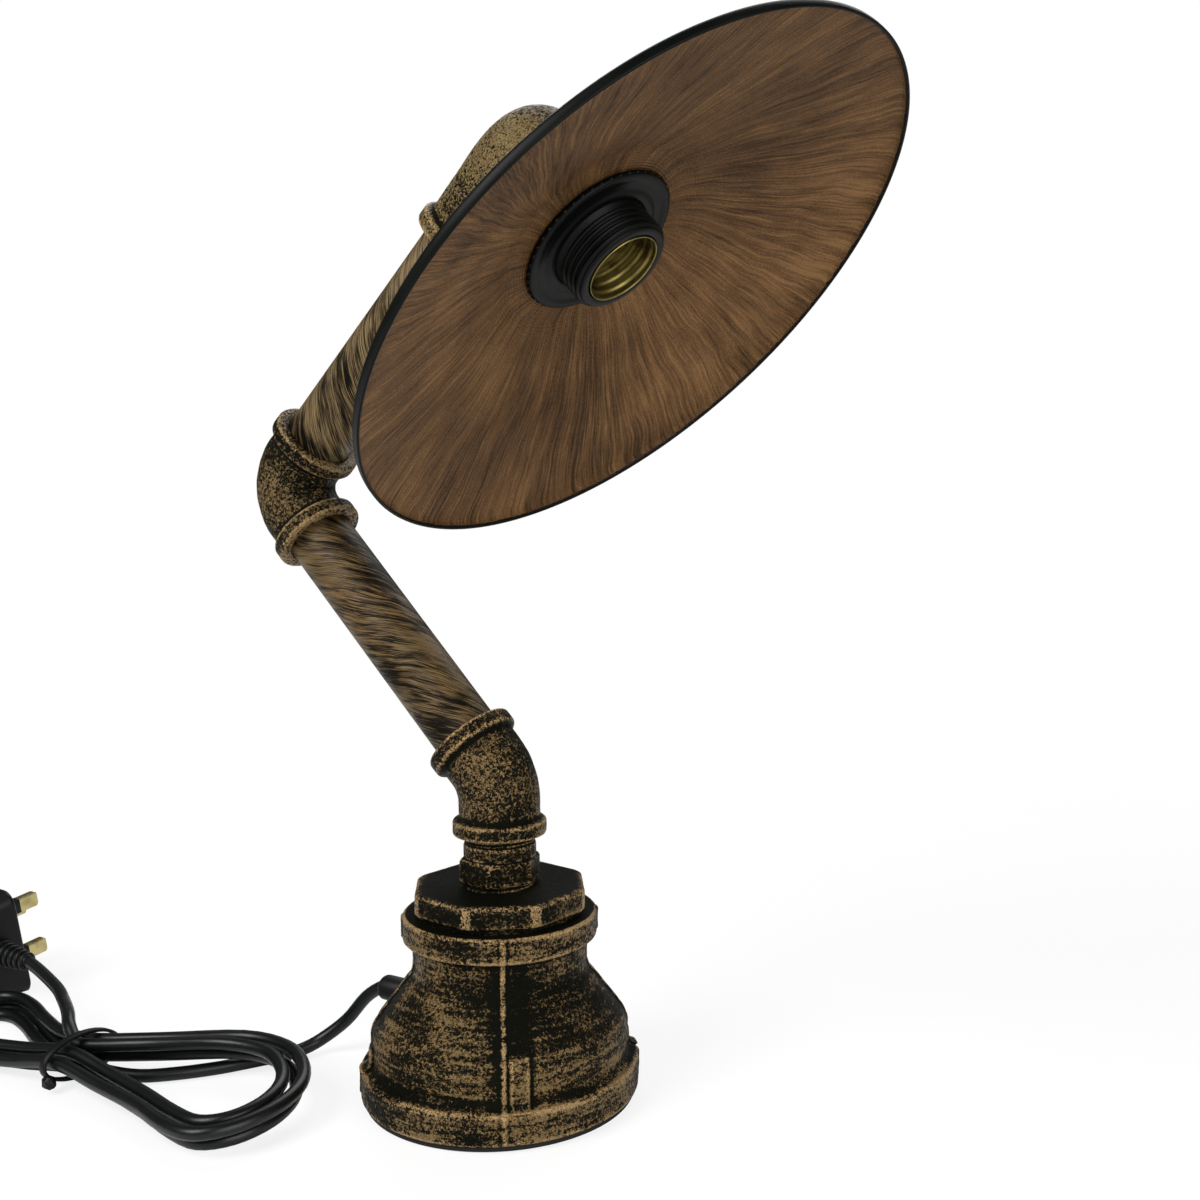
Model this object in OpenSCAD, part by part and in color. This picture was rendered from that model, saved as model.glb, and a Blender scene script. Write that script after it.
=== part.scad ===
// Table lamp made of cast pipe fittings: a bell reducing socket as its foot,
// two arms of tube in a zigzag, a reducing elbow as its head and a shallow
// round shade. The origin is the middle of the underside, +Z is up and the
// head reaches toward +X.

/* [Foot] */
// Radius of the wide band at the bottom of the bell
foot_band_r = 51; // [45:0.5:60]
// Height of the wide band
foot_band_h = 12; // [8:0.5:20]
// Radius of the bell above the band
bell_r = 46.8; // [40:0.2:56]
// Height of the upright part of the bell
bell_h = 17; // [10:0.5:30]
// Height of the cone of the bell
cone_h = 22; // [14:0.5:36]
// Radius of the neck under the top band
neck_r = 31.3; // [28:0.1:36]
// Height of the neck
neck_h = 7; // [4:0.5:14]
// Radius of the top band
top_band_r = 35.5; // [33:0.1:42]
// Height of the top band
top_band_h = 9.5; // [6:0.5:16]
// Wall of the casting
cast_wall = 4.4; // [3:0.1:7]
// Radius of the pad glued under the foot
pad_r = 49.6; // [40:0.2:58]
// Thickness of the pad
pad_t = 2; // [1:0.25:5]
// Height of the raised seams on the casting
seam_t = 0.8; // [0.3:0.1:2]
// Width of the raised seams
seam_w = 2; // [1:0.2:4]
// Turn of each seam from the middle of its rib
seam_turn = 6.4; // [0:0.2:12]
// Turn of the octagon and the hexagon on the foot
head_turn = 7.4; // [0:0.2:22]
// Width of the four ribs above the band
rib_w = 8; // [4:0.5:14]
// Height of the four ribs over the bell
rib_t = 1.5; // [0.8:0.1:3]
// Length of the four ribs up the bell
rib_h = 8; // [4:0.5:14]

/* [Bush and nipple] */
// Width across the flats of the octagonal head
bush_af = 61; // [50:0.5:66]
// Height of the octagonal head
bush_h = 8.5; // [5:0.5:14]
// Gap of bare thread under the octagonal head
bush_gap = 1.5; // [0.5:0.25:4]
// Radius of the thread of the bush
bush_thread_r = 29.3; // [26:0.1:30]
// Length of the thread inside the foot
bush_in = 9; // [5:0.5:9.4]
// Width across the flats of the hexagon of the nipple
hex_af = 26.6; // [24:0.2:32]
// Height of the hexagon
hex_h = 9; // [6:0.5:14]
// Thread shown below the hexagon
hex_gap = 1.5; // [0.5:0.25:4]
// Radius of the thread of the nipple
nipple_r = 12.8; // [11.5:0.1:13.2]
// Bore of the nipple
nipple_bore_r = 9; // [6:0.5:10]
// Thread shown above the hexagon
nipple_show = 8.2; // [3:0.2:14]

/* [Arms] */
// Radius of the tube
pipe_r = 12.4; // [10:0.1:13]
// Wall of the tube
pipe_wall = 2; // [1.2:0.1:3]
// Lean of both tubes from upright
arm_tilt = 45; // [40:1:50]
// Lower arm between the centres of its elbows
arm_low = 147.9; // [120:0.5:200]
// Upper arm between the centres of its elbows
arm_up = 165.6; // [140:0.5:220]
// Depth of tube inside an elbow
thread_in = 11; // [8:0.5:12]

/* [Elbows] */
// Radius of the body of an elbow
elbow_r = 14.8; // [14:0.1:16]
// Radius of the band at its mouth
band_r = 17.1; // [16:0.1:20]
// Width of the band
band_l = 5.6; // [4:0.2:8]
// Passage through an elbow
way_r = 10.6; // [8:0.2:11]
// Centre to face of the lower elbow
low_face = 20; // [19:0.5:26]
// Bend of the lower elbow at its middle line
low_bend = 20; // [16:0.5:21]
// Centre to face of the two other elbows
mid_face = 27; // [26:0.5:34]
// Bend of the middle elbow at its middle line
mid_bend = 15.4; // [15.2:0.1:18]
// Centre to small mouth of the top elbow
top_small_face = 41; // [38:0.5:48]
// Centre to wide mouth of the top elbow
top_wide_face = 42; // [38:0.5:48]
// Radius of the wide body of the top elbow
wide_r = 21.8; // [21:0.1:24]
// Radius of its wide band
wide_band_r = 25.5; // [23:0.1:29]
// Width of its wide band
wide_band_l = 7; // [5:0.5:10]
// Squareness of the back of the top elbow
back_power = 3.3; // [2:0.1:4]

/* [Lampholder] */
// Radius of the holder in the elbow
holder_r = 20; // [19.4:0.1:20.2]
// Radius of the threaded skirt
skirt_r = 18.5; // [18:0.1:19.2]
// Skirt past the mouth of the elbow
skirt_out = 15.9; // [10:0.1:24]
// Length of the holder inside the elbow
holder_in = 29; // [24:0.5:31]
// Radius of the ring that clamps the shade
ring_r = 29.7; // [24:0.1:34]
// Thickness of the ring
ring_t = 2.6; // [2:0.1:5]
// Inner radius of the lamp screw shell
shell_r = 13.4; // [13.2:0.05:13.5]
// Sheet of the screw shell
shell_t = 0.5; // [0.4:0.05:0.8]
// Depth of the screw shell
shell_depth = 22; // [18:0.5:25]
// Radius of the sprung centre contact
contact_r = 3.5; // [2.5:0.1:4.5]
// Travel of the sprung centre contact
contact_travel = 1.5; // [0.5:0.1:2]
// Height of both contacts over the insert
contact_rise = 1.5; // [1.2:0.1:3]

/* [Shade] */
// Radius of the rim
shade_r = 112.5; // [90:0.5:130]
// Depth of the shade from plate to rim
shade_depth = 30.5; // [24:0.5:45]
// Thickness of the sheet
shade_t = 1; // [0.7:0.1:1.6]
// Radius of the flat plate in its middle
plate_r = 36; // [32:0.5:50]
// Depth of the upright lip
lip_h = 5; // [3:0.25:9]

/* [Cord and plug] */
// Diameter of the mains cord
cord_d = 5; // [4:0.1:7]
// Height of the cord outlet
gland_z = 29; // [20:0.5:31]
// Radius of the outlet bush
gland_r = 4.8; // [4.2:0.1:7]
// Length of the outlet bush outside the foot
gland_l = 10.5; // [8:0.5:16]
// Width of the plug across the two flat pins
plug_w = 48; // [47:0.5:54]
// Length of the plug from earth side to cord side
plug_l = 52; // [48:0.5:58]
// Thickness of the plug
plug_t = 20; // [16:0.5:26]
// Draft of the sides of the plug
plug_draft = 3.2; // [1:0.1:5]
// Distance between the flat pins
pin_pitch = 22.2; // [22:0.1:22.4]
// Length of the flat pins
pin_l = 17.7; // [17:0.1:18.2]
// Length of the earth pin
earth_l = 22.7; // [22:0.1:23.2]
// Length of the tapered relief
relief_l = 20; // [20:0.5:40]

/* [Clearances] */
// Running fit on a thread, on the radius
thread_fit = 0.05; // [0.02:0.01:0.1]
// Gap between fitted pieces of one body
seat_fit = 0.05; // [0.02:0.01:0.2]
// Clear space between the contacts and the screw shell
contact_gap = 0.6; // [0.3:0.1:1.5]

/* [Hidden] */
$fn = 64;

iron = [0.25, 0.22, 0.17];
tube_iron = [0.30, 0.25, 0.18];
black = [0.06, 0.06, 0.06];
brass = [0.80, 0.68, 0.40];
copper = [0.42, 0.29, 0.18];

// heights up the foot
foot_z = pad_t;
band_top = foot_z + foot_band_h;
bell_top = band_top + bell_h;
cone_top = bell_top + cone_h;
neck_top = cone_top + neck_h;
foot_top = neck_top + top_band_h;
bush_z = foot_top + bush_gap;
bush_top = bush_z + bush_h;
hex_z = bush_top + hex_gap;
hex_top = hex_z + hex_h;
mouth_z = hex_top + nipple_show;
nipple_top = mouth_z + thread_in;
low_z = mouth_z + low_face;
pipe_fit_r = pipe_r + thread_fit;
nipple_fit_r = nipple_r + thread_fit;
way_wall = nipple_r - nipple_bore_r;

// centres of the middle and top elbows
mid_x = -arm_low * sin(arm_tilt);
mid_z = low_z + arm_low * cos(arm_tilt);
top_x = mid_x + arm_up * sin(arm_tilt);
top_z = mid_z + arm_up * cos(arm_tilt);

// along the axis of the head
skirt_end = top_wide_face + skirt_out;
shade_z = top_wide_face;
ring_z = shade_z + shade_t;
shell_end = skirt_end + 0.3;
shell_z = shell_end - shell_depth;
insert_t = 6;
insert_z = shell_z - contact_gap - contact_rise - insert_t;
holder_z = top_wide_face - holder_in;
cable_r = 2.4;

// arc of n steps as points
function arc(cx, cy, r, a0, a1, n) =
    [for (i = [0:n]) let (a = a0 + (a1 - a0) * i / n)
        [cx + r * cos(a), cy + r * sin(a)]];

// outline of the foot from the bottom up, moved out by e
function foot_line(e) = concat(
    arc(foot_band_r - 1.5 + e, foot_z + 1.5, 1.5, -90, 0, 3),
    arc(foot_band_r - 2 + e, band_top - 2, 2, 0, 80, 4),
    [[bell_r + 2.2 + e, band_top + 0.15], [bell_r + 0.8 + e, band_top + 0.9],
     [bell_r + e, band_top + 2.6]],
    arc(bell_r - 12 + e, bell_top - 0.5, 12, 0, 42, 6),
    [[neck_r + 3.2 + e, cone_top - 4.2], [neck_r + 1 + e, cone_top - 1.6],
     [neck_r + e, cone_top + 0.4], [neck_r + e, neck_top - 1.2],
     [neck_r + 0.8 + e, neck_top - 0.3]],
    arc(top_band_r - 1.3 + e, neck_top + 1.3, 1.3, -80, 0, 3),
    arc(top_band_r - 1.3 + e, foot_top - 1.3, 1.3, 0, 90, 3));

// hollow of the foot
foot_open_r = bell_r - cast_wall + 1.1;
foot_hollow = [[0, foot_z - 1], [foot_open_r, foot_z - 1],
    [foot_open_r, band_top + 3], [bell_r - cast_wall - 0.4, band_top + 4.5],
    [bell_r - cast_wall - 0.4, bell_top + 4.5], [bell_r - cast_wall - 3.2, bell_top + 8.5],
    [neck_r - cast_wall + 1.6, cone_top - 3],
    [neck_r - cast_wall, cone_top], [neck_r - cast_wall, foot_top - bush_in - 0.5],
    [bush_thread_r + seat_fit, foot_top - bush_in - 0.5],
    [bush_thread_r + seat_fit, foot_top + 1], [0, foot_top + 1]];

module foot_strip(e, w, r_in) {
    step = w / bell_r * 180 / PI;
    rotate([0, 0, -step / 2]) rotate_extrude(angle = step)
        polygon(concat([[r_in, foot_z]], foot_line(e), [[r_in, foot_top]]));
}

module base_reducer() color(iron) difference() {
    union() {
        rotate_extrude() polygon(concat([[0, foot_z]], foot_line(0), [[0, foot_top]]));
        for (a = [45:90:315]) rotate([0, 0, a]) {
            intersection() {
                rotate([0, 0, -seam_turn]) foot_strip(seam_t, seam_w, neck_r - 2);
                translate([0, 0, foot_z + 2])
                    cylinder(r = foot_band_r + 3, h = foot_top - foot_z - 3.2);
            }
            step = rib_w / bell_r * 180 / PI;
            rotate([0, 0, -step / 2]) rotate_extrude(angle = step)
                polygon([[bell_r - 2, band_top - 1], [bell_r + rib_t, band_top - 1],
                    [bell_r + rib_t, band_top + rib_h - 1.5],
                    [bell_r + rib_t - 0.6, band_top + rib_h - 0.5],
                    [bell_r - 2, band_top + rib_h + 1]]);
        }
    }
    rotate_extrude() polygon(foot_hollow);
    translate([-bell_r, 0, gland_z]) rotate([0, 90, 0])
        translate([0, 0, -6]) cylinder(r = gland_r - 0.9 + seat_fit, h = 6 + cast_wall + 6);
}

module base_pad() color(black) translate([0, 0, 0])
    cylinder(r = pad_r, h = pad_t);

module octagon_bush() color(iron) difference() {
    union() {
        translate([0, 0, bush_z]) rotate([0, 0, 22.5 - head_turn]) intersection() {
            cylinder(r = bush_af / 2 / cos(22.5), h = bush_h, $fn = 8);
            rotate_extrude() polygon([[0, 0], [bush_af / 2 - 0.4, 0],
                [bush_af / 2 / cos(22.5), 1.2], [bush_af / 2 / cos(22.5), bush_h - 1.2],
                [bush_af / 2 - 0.4, bush_h], [0, bush_h]]);
        }
        translate([0, 0, foot_top - bush_in]) cylinder(r = bush_thread_r, h = bush_in + bush_gap + 0.5);
    }
    translate([0, 0, foot_top - bush_in - 1]) cylinder(r = nipple_r + seat_fit, h = bush_top - foot_top + bush_in + 2);
    translate([0, 0, foot_top - bush_in - 1])
        cylinder(r1 = bush_thread_r - 3.5, r2 = nipple_r + 4, h = bush_in);
}

module hex_nipple() color(iron) difference() {
    union() {
        translate([0, 0, bush_top - bush_h - 1]) cylinder(r = nipple_r, h = nipple_top - bush_top + bush_h + 1);
        translate([0, 0, hex_z]) rotate([0, 0, -head_turn]) intersection() {
            cylinder(r = hex_af / 2 / cos(30), h = hex_h, $fn = 6);
            rotate_extrude() polygon([[0, 0], [hex_af / 2 - 0.2, 0],
                [hex_af / 2 / cos(30), 1], [hex_af / 2 / cos(30), hex_h - 1.1],
                [hex_af / 2 - 0.2, hex_h], [0, hex_h]]);
        }
    }
    translate([0, 0, bush_z - 3]) cylinder(r = nipple_bore_r, h = nipple_top - bush_z + 5);
}

module cord_gland() color(black) translate([0, 0, gland_z]) rotate([0, -90, 0]) difference() {
    rotate_extrude() polygon(concat([[0, bell_r - cast_wall - 8], [gland_r - 0.9, bell_r - cast_wall - 8],
        [gland_r - 0.9, bell_r + seat_fit], [gland_r, bell_r + seat_fit]],
        arc(gland_r - 2.2, bell_r + gland_l - 2.2, 2.2, 0, 70, 4),
        [[0, bell_r + gland_l]]));
    translate([0, 0, bell_r - cast_wall - 9]) cylinder(r = cable_r + seat_fit, h = cast_wall + gland_l);
    translate([0, 0, bell_r + gland_l - 3]) cylinder(r = cord_d / 2 + 0.2, h = 4);
}

nut_r = gland_r + 2.5;
nut_x = sqrt(pow(bell_r - cast_wall - 0.4, 2) - nut_r * nut_r) - 0.3;
module gland_nut() color(black) translate([0, 0, gland_z]) rotate([0, -90, 0]) difference() {
    translate([0, 0, nut_x - 4]) rotate([0, 0, 30]) cylinder(r = nut_r, h = 4, $fn = 6);
    translate([0, 0, nut_x - 6]) cylinder(r = gland_r - 0.9 + seat_fit, h = 8);
}

// hollow quarter or part of a ring, from -z round toward +x
module bend_part(r, bore, bend, turn) translate([bend, 0, -bend * tan(turn / 2)])
    rotate([90, 0, 0]) rotate([0, 0, 180 - turn]) rotate_extrude(angle = turn)
        translate([bend, 0]) difference() {
            circle(r = r);
            circle(r = bore);
        }

// outline of a band at a mouth that lies at z = 0, then the body up to len
function band_line(r, l, body, len) = concat(
    arc(r - 1.1, 1.1, 1.1, -90, 0, 3), arc(r - 1.1, l - 1.1, 1.1, 0, 80, 3),
    [[body + 0.5, l + 0.3], [body, l + 1.4], [body, len]]);
module elbow_leg(len, fit) rotate_extrude() polygon(concat([[fit, 0]],
    band_line(band_r, band_l, elbow_r, len),
    [[elbow_r - 0.8, len], [elbow_r - 0.8, len + 0.4], [way_r + 0.8, len + 0.4],
     [way_r + 0.8, len], [way_r, len], [way_r, thread_in + 0.3], [fit, thread_in + 0.3]]));

// fitting with two equal mouths
module plain_elbow(face, bend, turn, fit_a, fit_b) {
    leg = face - bend * tan(turn / 2);
    translate([0, 0, -face]) elbow_leg(leg, fit_a);
    bend_part(elbow_r, way_r, bend, turn);
    rotate([0, turn, 0]) translate([0, 0, face]) mirror([0, 0, 1]) elbow_leg(leg, fit_b);
}

module at_low() translate([0, 0, low_z]) rotate([0, 0, 180]) children();
module at_mid() translate([mid_x, 0, mid_z]) rotate([0, -arm_tilt, 0]) children();
module at_top() translate([top_x, 0, top_z]) rotate([0, 90 + arm_tilt, 0]) children();

module lower_elbow() color(iron) at_low()
    plain_elbow(low_face, low_bend, arm_tilt, nipple_fit_r, pipe_r + seat_fit);

module lower_pipe() color(tube_iron) at_low() rotate([0, arm_tilt, 0])
    translate([0, 0, low_face - thread_in]) difference() {
        cylinder(r = pipe_r, h = arm_low - low_face - mid_face + 2 * thread_in);
        translate([0, 0, -1]) cylinder(r = pipe_r - pipe_wall, h = arm_low);
    }

module middle_elbow() color(iron) at_mid()
    plain_elbow(mid_face, mid_bend, 2 * arm_tilt, pipe_fit_r, pipe_r + seat_fit);

module upper_pipe() color(tube_iron) at_mid() rotate([0, 2 * arm_tilt, 0])
    translate([0, 0, mid_face - thread_in]) difference() {
        cylinder(r = pipe_r, h = arm_up - mid_face - top_small_face + 2 * thread_in);
        translate([0, 0, -1]) cylinder(r = pipe_r - pipe_wall, h = arm_up);
    }

// top elbow: sections turned about a point inside the throat
throat = 2;
pivot = [wide_r + throat, elbow_r + throat];
reach = [pivot[0] + wide_r, pivot[1] + elbow_r];
function back_len(f) = pow(pow(sin(f) / reach[0], back_power)
    + pow(cos(f) / reach[1], back_power), -1 / back_power);
function section(p, d, m, w, n) = [for (i = [0:n - 1]) let (a = 360 * i / n)
    [p[0] + d[0] * m * cos(a), -w * sin(a), p[1] + d[1] * m * cos(a)]];
function top_rings(n, k) = concat(
    [section([top_small_face - 2, 0], [0, -1], elbow_r, elbow_r, n)],
    [for (i = [0:k]) let (f = 90 * i / k, d = [-sin(f), -cos(f)],
        m = (back_len(f) - throat) / 2, u = i / k,
        s = u * u * (3 - 2 * u))
        section(pivot + d * (throat + m), d, m, elbow_r + (wide_r - elbow_r) * s, n)],
    [section([0, top_wide_face - 2], [-1, 0], wide_r, wide_r, n)]);
module loft(rings) {
    n = len(rings[0]);
    k = len(rings);
    polyhedron(points = [for (r = rings) for (p = r) p],
        faces = concat([[for (i = [0:n - 1]) i]],
            [for (j = [0:k - 2]) for (i = [0:n - 1]) for (q = [0, 1])
                let (a = j * n + i, b = j * n + (i + 1) % n)
                q == 0 ? [a, a + n, b] : [b, a + n, b + n]],
            [[for (i = [n - 1:-1:0]) (k - 1) * n + i]]), convexity = 6);
}

// band of the top elbow, let into the lofted body
module top_band(r, l, body) rotate_extrude() polygon(concat([[0, 0]],
    arc(r - 1.1, 1.1, 1.1, -90, 0, 3), arc(r - 1.1, l - 1.1, 1.1, 0, 80, 3),
    [[body + 0.6, l + 0.3], [body - 1.5, l + 1.8], [0, l + 1.8]]));

module top_elbow() color(iron) at_top() difference() {
    union() {
        loft(top_rings(32, 12));
        translate([top_small_face, 0, 0]) rotate([0, -90, 0]) top_band(band_r, band_l, elbow_r);
        translate([0, 0, top_wide_face]) mirror([0, 0, 1]) top_band(wide_band_r, wide_band_l, wide_r);
    }
    rotate([0, 90, 0]) rotate_extrude() polygon([[0, 0], [way_r, 0],
        [way_r, top_small_face - thread_in - 0.3], [pipe_fit_r, top_small_face - thread_in - 0.3],
        [pipe_fit_r, top_small_face + 1], [0, top_small_face + 1]]);
    rotate_extrude() polygon([[0, 0], [way_r - 1, 0], [way_r - 1, holder_z - 5],
        [holder_r - 1.5, holder_z - 5],
        [holder_r - 1.5, holder_z + 6], [holder_r + seat_fit, holder_z + 6],
        [holder_r + seat_fit, top_wide_face + 1], [0, top_wide_face + 1]]);
    translate([0, holder_r - 1, top_wide_face - wide_band_l / 2]) rotate([-90, 0, 0])
        cylinder(r = 2 + seat_fit, h = wide_band_r);
}

module holder_screw() color(black) at_top()
    translate([0, holder_r + seat_fit, top_wide_face - wide_band_l / 2]) rotate([-90, 0, 0])
        difference() {
            cylinder(r = 2, h = wide_band_r - holder_r - 0.4);
            translate([0, 0, wide_band_r - holder_r - 2.4]) cylinder(r = 1.1, h = 3, $fn = 6);
        }

module holder_body() color(black) at_top() difference() {
    rotate_extrude() polygon(concat(
        [[0, holder_z], [holder_r - 5, holder_z], [holder_r - 2.5, holder_z + 2],
         [holder_r - 2.5, holder_z + 7], [holder_r, holder_z + 7.5],
         [holder_r, top_wide_face], [skirt_r, top_wide_face],
         [skirt_r, ring_z + ring_t + 0.8]],
        [for (i = [0:2]) for (q = [0:3]) let (z = ring_z + ring_t + 1.4 + i * 3.1)
            [skirt_r - (q == 0 || q == 3 ? 0.7 : 0), z + [0, 0.7, 1.6, 2.3][q]]],
        [[skirt_r - 0.7, skirt_end - 0.8], [skirt_r - 1.4, skirt_end], [0, skirt_end]]));
    translate([0, 0, insert_z]) cylinder(r = shell_r + shell_t + seat_fit, h = skirt_end - insert_z + 1);
    translate([0, 0, holder_z + 5]) cylinder(r = shell_r - 1.5, h = insert_z);
    translate([0, 0, holder_z - 1]) cylinder(r = 4.5, h = 8);
}

module shade_ring() color(black) at_top() translate([0, 0, ring_z]) rotate_extrude()
    polygon([[skirt_r + thread_fit, 0.02], [ring_r - 0.4, 0.02], [ring_r, 0.5],
        [ring_r, ring_t - 0.7], [ring_r - 0.7, ring_t - 0.1], [skirt_r + 5, ring_t],
        [skirt_r + thread_fit, ring_t]]);

// middle line of the sheet of the shade, back face, from hole to rim
slope = (shade_depth - lip_h - 1) / (shade_r - plate_r);
module shade() color(copper) at_top() translate([0, 0, shade_z + 0.02]) rotate_extrude() polygon([
    [skirt_r + 0.3, 0], [plate_r, 0], [plate_r + 5, 4.4 * slope],
    [shade_r - 4, (shade_r - 4 - plate_r) * slope],
    [shade_r - 1.2, (shade_r - 2 - plate_r) * slope + 0.3],
    [shade_r, shade_depth - lip_h + 1.2], [shade_r, shade_depth],
    [shade_r - shade_t, shade_depth], [shade_r - shade_t, shade_depth - lip_h + 2],
    [shade_r - 2.2, (shade_r - 2 - plate_r) * slope + 0.3 + shade_t * 0.8],
    [shade_r - 4.4, (shade_r - 4 - plate_r) * slope + shade_t * 1.05],
    [plate_r + 4.6, 4.4 * slope + shade_t * 1.05], [plate_r - 0.4, shade_t - 0.02], [skirt_r + 0.3, shade_t - 0.02]]);

module screw_shell() color(brass) at_top() translate([0, 0, shell_z + seat_fit]) rotate_extrude()
    polygon([[shell_r, 0], [shell_r + shell_t, 0], [shell_r + shell_t, shell_depth],
        [shell_r, shell_depth]]);

module contact_base() color([0.85, 0.83, 0.78]) at_top() difference() {
    translate([0, 0, insert_z]) cylinder(r = shell_r + shell_t, h = insert_t);
    translate([0, 0, insert_z - 1]) cylinder(r = contact_r + thread_fit, h = insert_t + 2);
}

// height of the sprung contact itself
pin_top = insert_t + contact_rise - contact_travel - 0.5;
module centre_contact() color(brass) at_top() translate([0, 0, insert_z + contact_travel + 0.5])
    rotate_extrude() polygon(concat([[0, 0], [contact_r, 0]],
        arc(contact_r - 1.5, pin_top - 1.5, 1.5, 0, 80, 4), [[0, pin_top]]));

module side_contact() color(brass) at_top() translate([7.5, -2, insert_z + insert_t]) {
    cube([4.5, 4, 1]);
    translate([3.5, 0, 0]) cube([1, 4, contact_rise]);
}

module terminal(side) at_top() translate([side * 7 - 3, -3.5, insert_z - 8]) difference() {
    cube([6, 7, 8]);
    translate([3, 3.5, -1]) cylinder(r = 1.5, h = 6);
    translate([3, -1, 3]) rotate([-90, 0, 0]) cylinder(r = 1.2, h = 9);
}
module terminal_live() color(brass) terminal(1);
module terminal_neutral() color(brass) terminal(-1);

// tube swept along points, n sides, of radius r
function unit(v) = v / norm(v);
function way(p, i) = unit(p[min(i + 1, len(p) - 1)] - p[max(i - 1, 0)]);
function side0(d) = unit(cross(abs(d[2]) > 0.9 ? [1, 0, 0] : [0, 0, 1], d));
function carried(p, i, v) = unit(v - way(p, i) * (v * way(p, i)));
function frames(p, i = 0, v = [0, 0, 0], out = []) = i == len(p) ? out :
    let (w = i == 0 ? side0(way(p, 0)) : carried(p, i, v))
    frames(p, i + 1, w, concat(out, [w]));
function tube_rings(p, r, n) = let (f = frames(p)) [for (i = [0:len(p) - 1])
    let (d = way(p, i), a = f[i], b = cross(d, a))
    [for (k = [0:n - 1]) let (t = 360 * (k + 0.5) / n) p[i] + r * (cos(t) * a + sin(t) * b)]];
module swept(p, r, n) {
    rings = tube_rings(p, r, n);
    k = len(rings);
    polyhedron(points = [for (q = rings) for (v = q) v],
        faces = concat([[for (i = [0:n - 1]) i]],
            [for (j = [0:k - 2]) for (i = [0:n - 1]) for (q = [0, 1])
                let (a = j * n + i, b = j * n + (i + 1) % n)
                q == 0 ? [a, a + n, b] : [b, a + n, b + n]],
            [[for (i = [n - 1:-1:0]) (k - 1) * n + i]]), convexity = 8);
}
// smooth curve through points
function spline(p, m) = concat([for (i = [0:len(p) - 2]) for (j = [0:m - 1])
    let (t = j / m, a = p[max(i - 1, 0)], b = p[i], c = p[i + 1], d = p[min(i + 2, len(p) - 1)])
    0.5 * (2 * b + (c - a) * t + (2 * a - 5 * b + 4 * c - d) * t * t
        + (3 * b - a - 3 * c + d) * t * t * t)], [p[len(p) - 1]]);

lead_r = 2.2;
gland_in = bell_r - cast_wall - 8;
module lead_base() color(black) swept(spline([[-gland_in + 0.1, 0, gland_z],
    [-gland_in + 8, 0, gland_z + 0.5], [-12, 0, gland_z + 9], [-2, 0, gland_z + 22],
    [0, 0, bush_z - 5], [0, 0, nipple_top - 0.1]], 4), lead_r, 8);
function bent(a, b, bend, turn) = let (t = bend * tan(turn / 2)) concat([[0, 0, -a]],
    [for (i = [0:6]) let (q = turn * i / 6) [bend - bend * cos(q), 0, -t + bend * sin(q)]],
    [[b * sin(turn), 0, b * cos(turn)]]);
module lead_lower() color(black) at_low()
    swept(bent(low_face - thread_in - 0.2, arm_low - mid_face + thread_in, low_bend, arm_tilt), lead_r, 8);
module lead_upper() color(black) at_mid()
    swept(bent(mid_face - thread_in - 0.2, arm_up - top_small_face + thread_in, mid_bend, 2 * arm_tilt), lead_r, 8);
module lead_head() color(black) at_top() swept(spline([[top_small_face - thread_in - 0.3, 0, 0],
    [18, 0, 0], [7, 0, 2.5], [1, 0, 8], [0, 0, holder_z], [0, 0, holder_z + 6]], 4), lead_r, 8);

// route of the cord from the outlet to the hank
hank_in = [-68, -30, 3];
cord_route = [[-54.2, 0, 29], [-57.6, 0, 28.8], [-66, -0.5, 23], [-74, -3, 13],
    [-82, -9, 5.5], [-86, -16, 2.9], [-89, -23, 2.6], [-93, -30, 2.6]];
cord_z = 2.6;
module cord() color(black) swept(spline(cord_route, 4), cord_d / 2, 10);

// the hank: three long loops, drawn in at the tie, in two layers
tie_at = [-143, -72, 0];
hank_turns = 3;
hank_step = 6.15;
waist_step = 6.1;
hank_len = 79;
function rise(u) = u <= 1.75 ? u : 3.5 - u;
function ease(x) = let (t = min(1, max(0, x))) t * t * (3 - 2 * t);
function hank_pt(u) = let (t = 360 * u, s = rise(u), x = (hank_len + hank_step * s) * cos(t),
    lobe = (29.5 + 7.9 * s) * (x > 0 ? 1.3 : 1) * sin(t) * cos(t) * cos(t),
    lean = x > 0 ? 0.03 * x + 0.00115 * x * x : 0.03 * x + 0.00195 * x * x,
    y = lobe + waist_step * s * sin(t),
    low = cord_z + 5.9 * ease((u - 1.45) / 0.5),
    turned = abs(((t + 180) % 360) - 180 - 25),
    over = 5.9 * min(1, 2.2 * max(0, cos(min(90, turned * 1.35)))),
    held = 3.6 * exp(-(x * x) / 400))
    tie_at + [x, y + lean, low + over + held];
// straight run under the right-hand end into the first loop
hank_lead = [[-93, -30, 2.6], [-96.5, -36, 2.6], [-102, -44.5, 2.6], [-111, -55, 2.6],
    [-121, -64, 2.9], [-132, -70, 4.6], [-143, -70.9, 6.1]];
u_start = 0.2917;
u_end = 3.25;
hank_loops = [for (i = [0:71]) hank_pt(u_start + (u_end - u_start) * i / 71)];
hank_out = [[-149, -70, 13.8], [-155, -67.7, 17], [-161, -63.5, 18.2], [-167, -59.5, 18]];
hank_path = concat(hank_lead, hank_loops, hank_out);
far = [for (i = [0:len(hank_path) - 1]) for (j = [i + 5:1:len(hank_path) - 1])
    norm(hank_path[i] - hank_path[j])];
hank_gap = min(far) - cord_d;
echo(hank_gap = hank_gap, rings = len(hank_path));
module cord_hank() color(black) swept(hank_path, cord_d / 2, 6);

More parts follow.
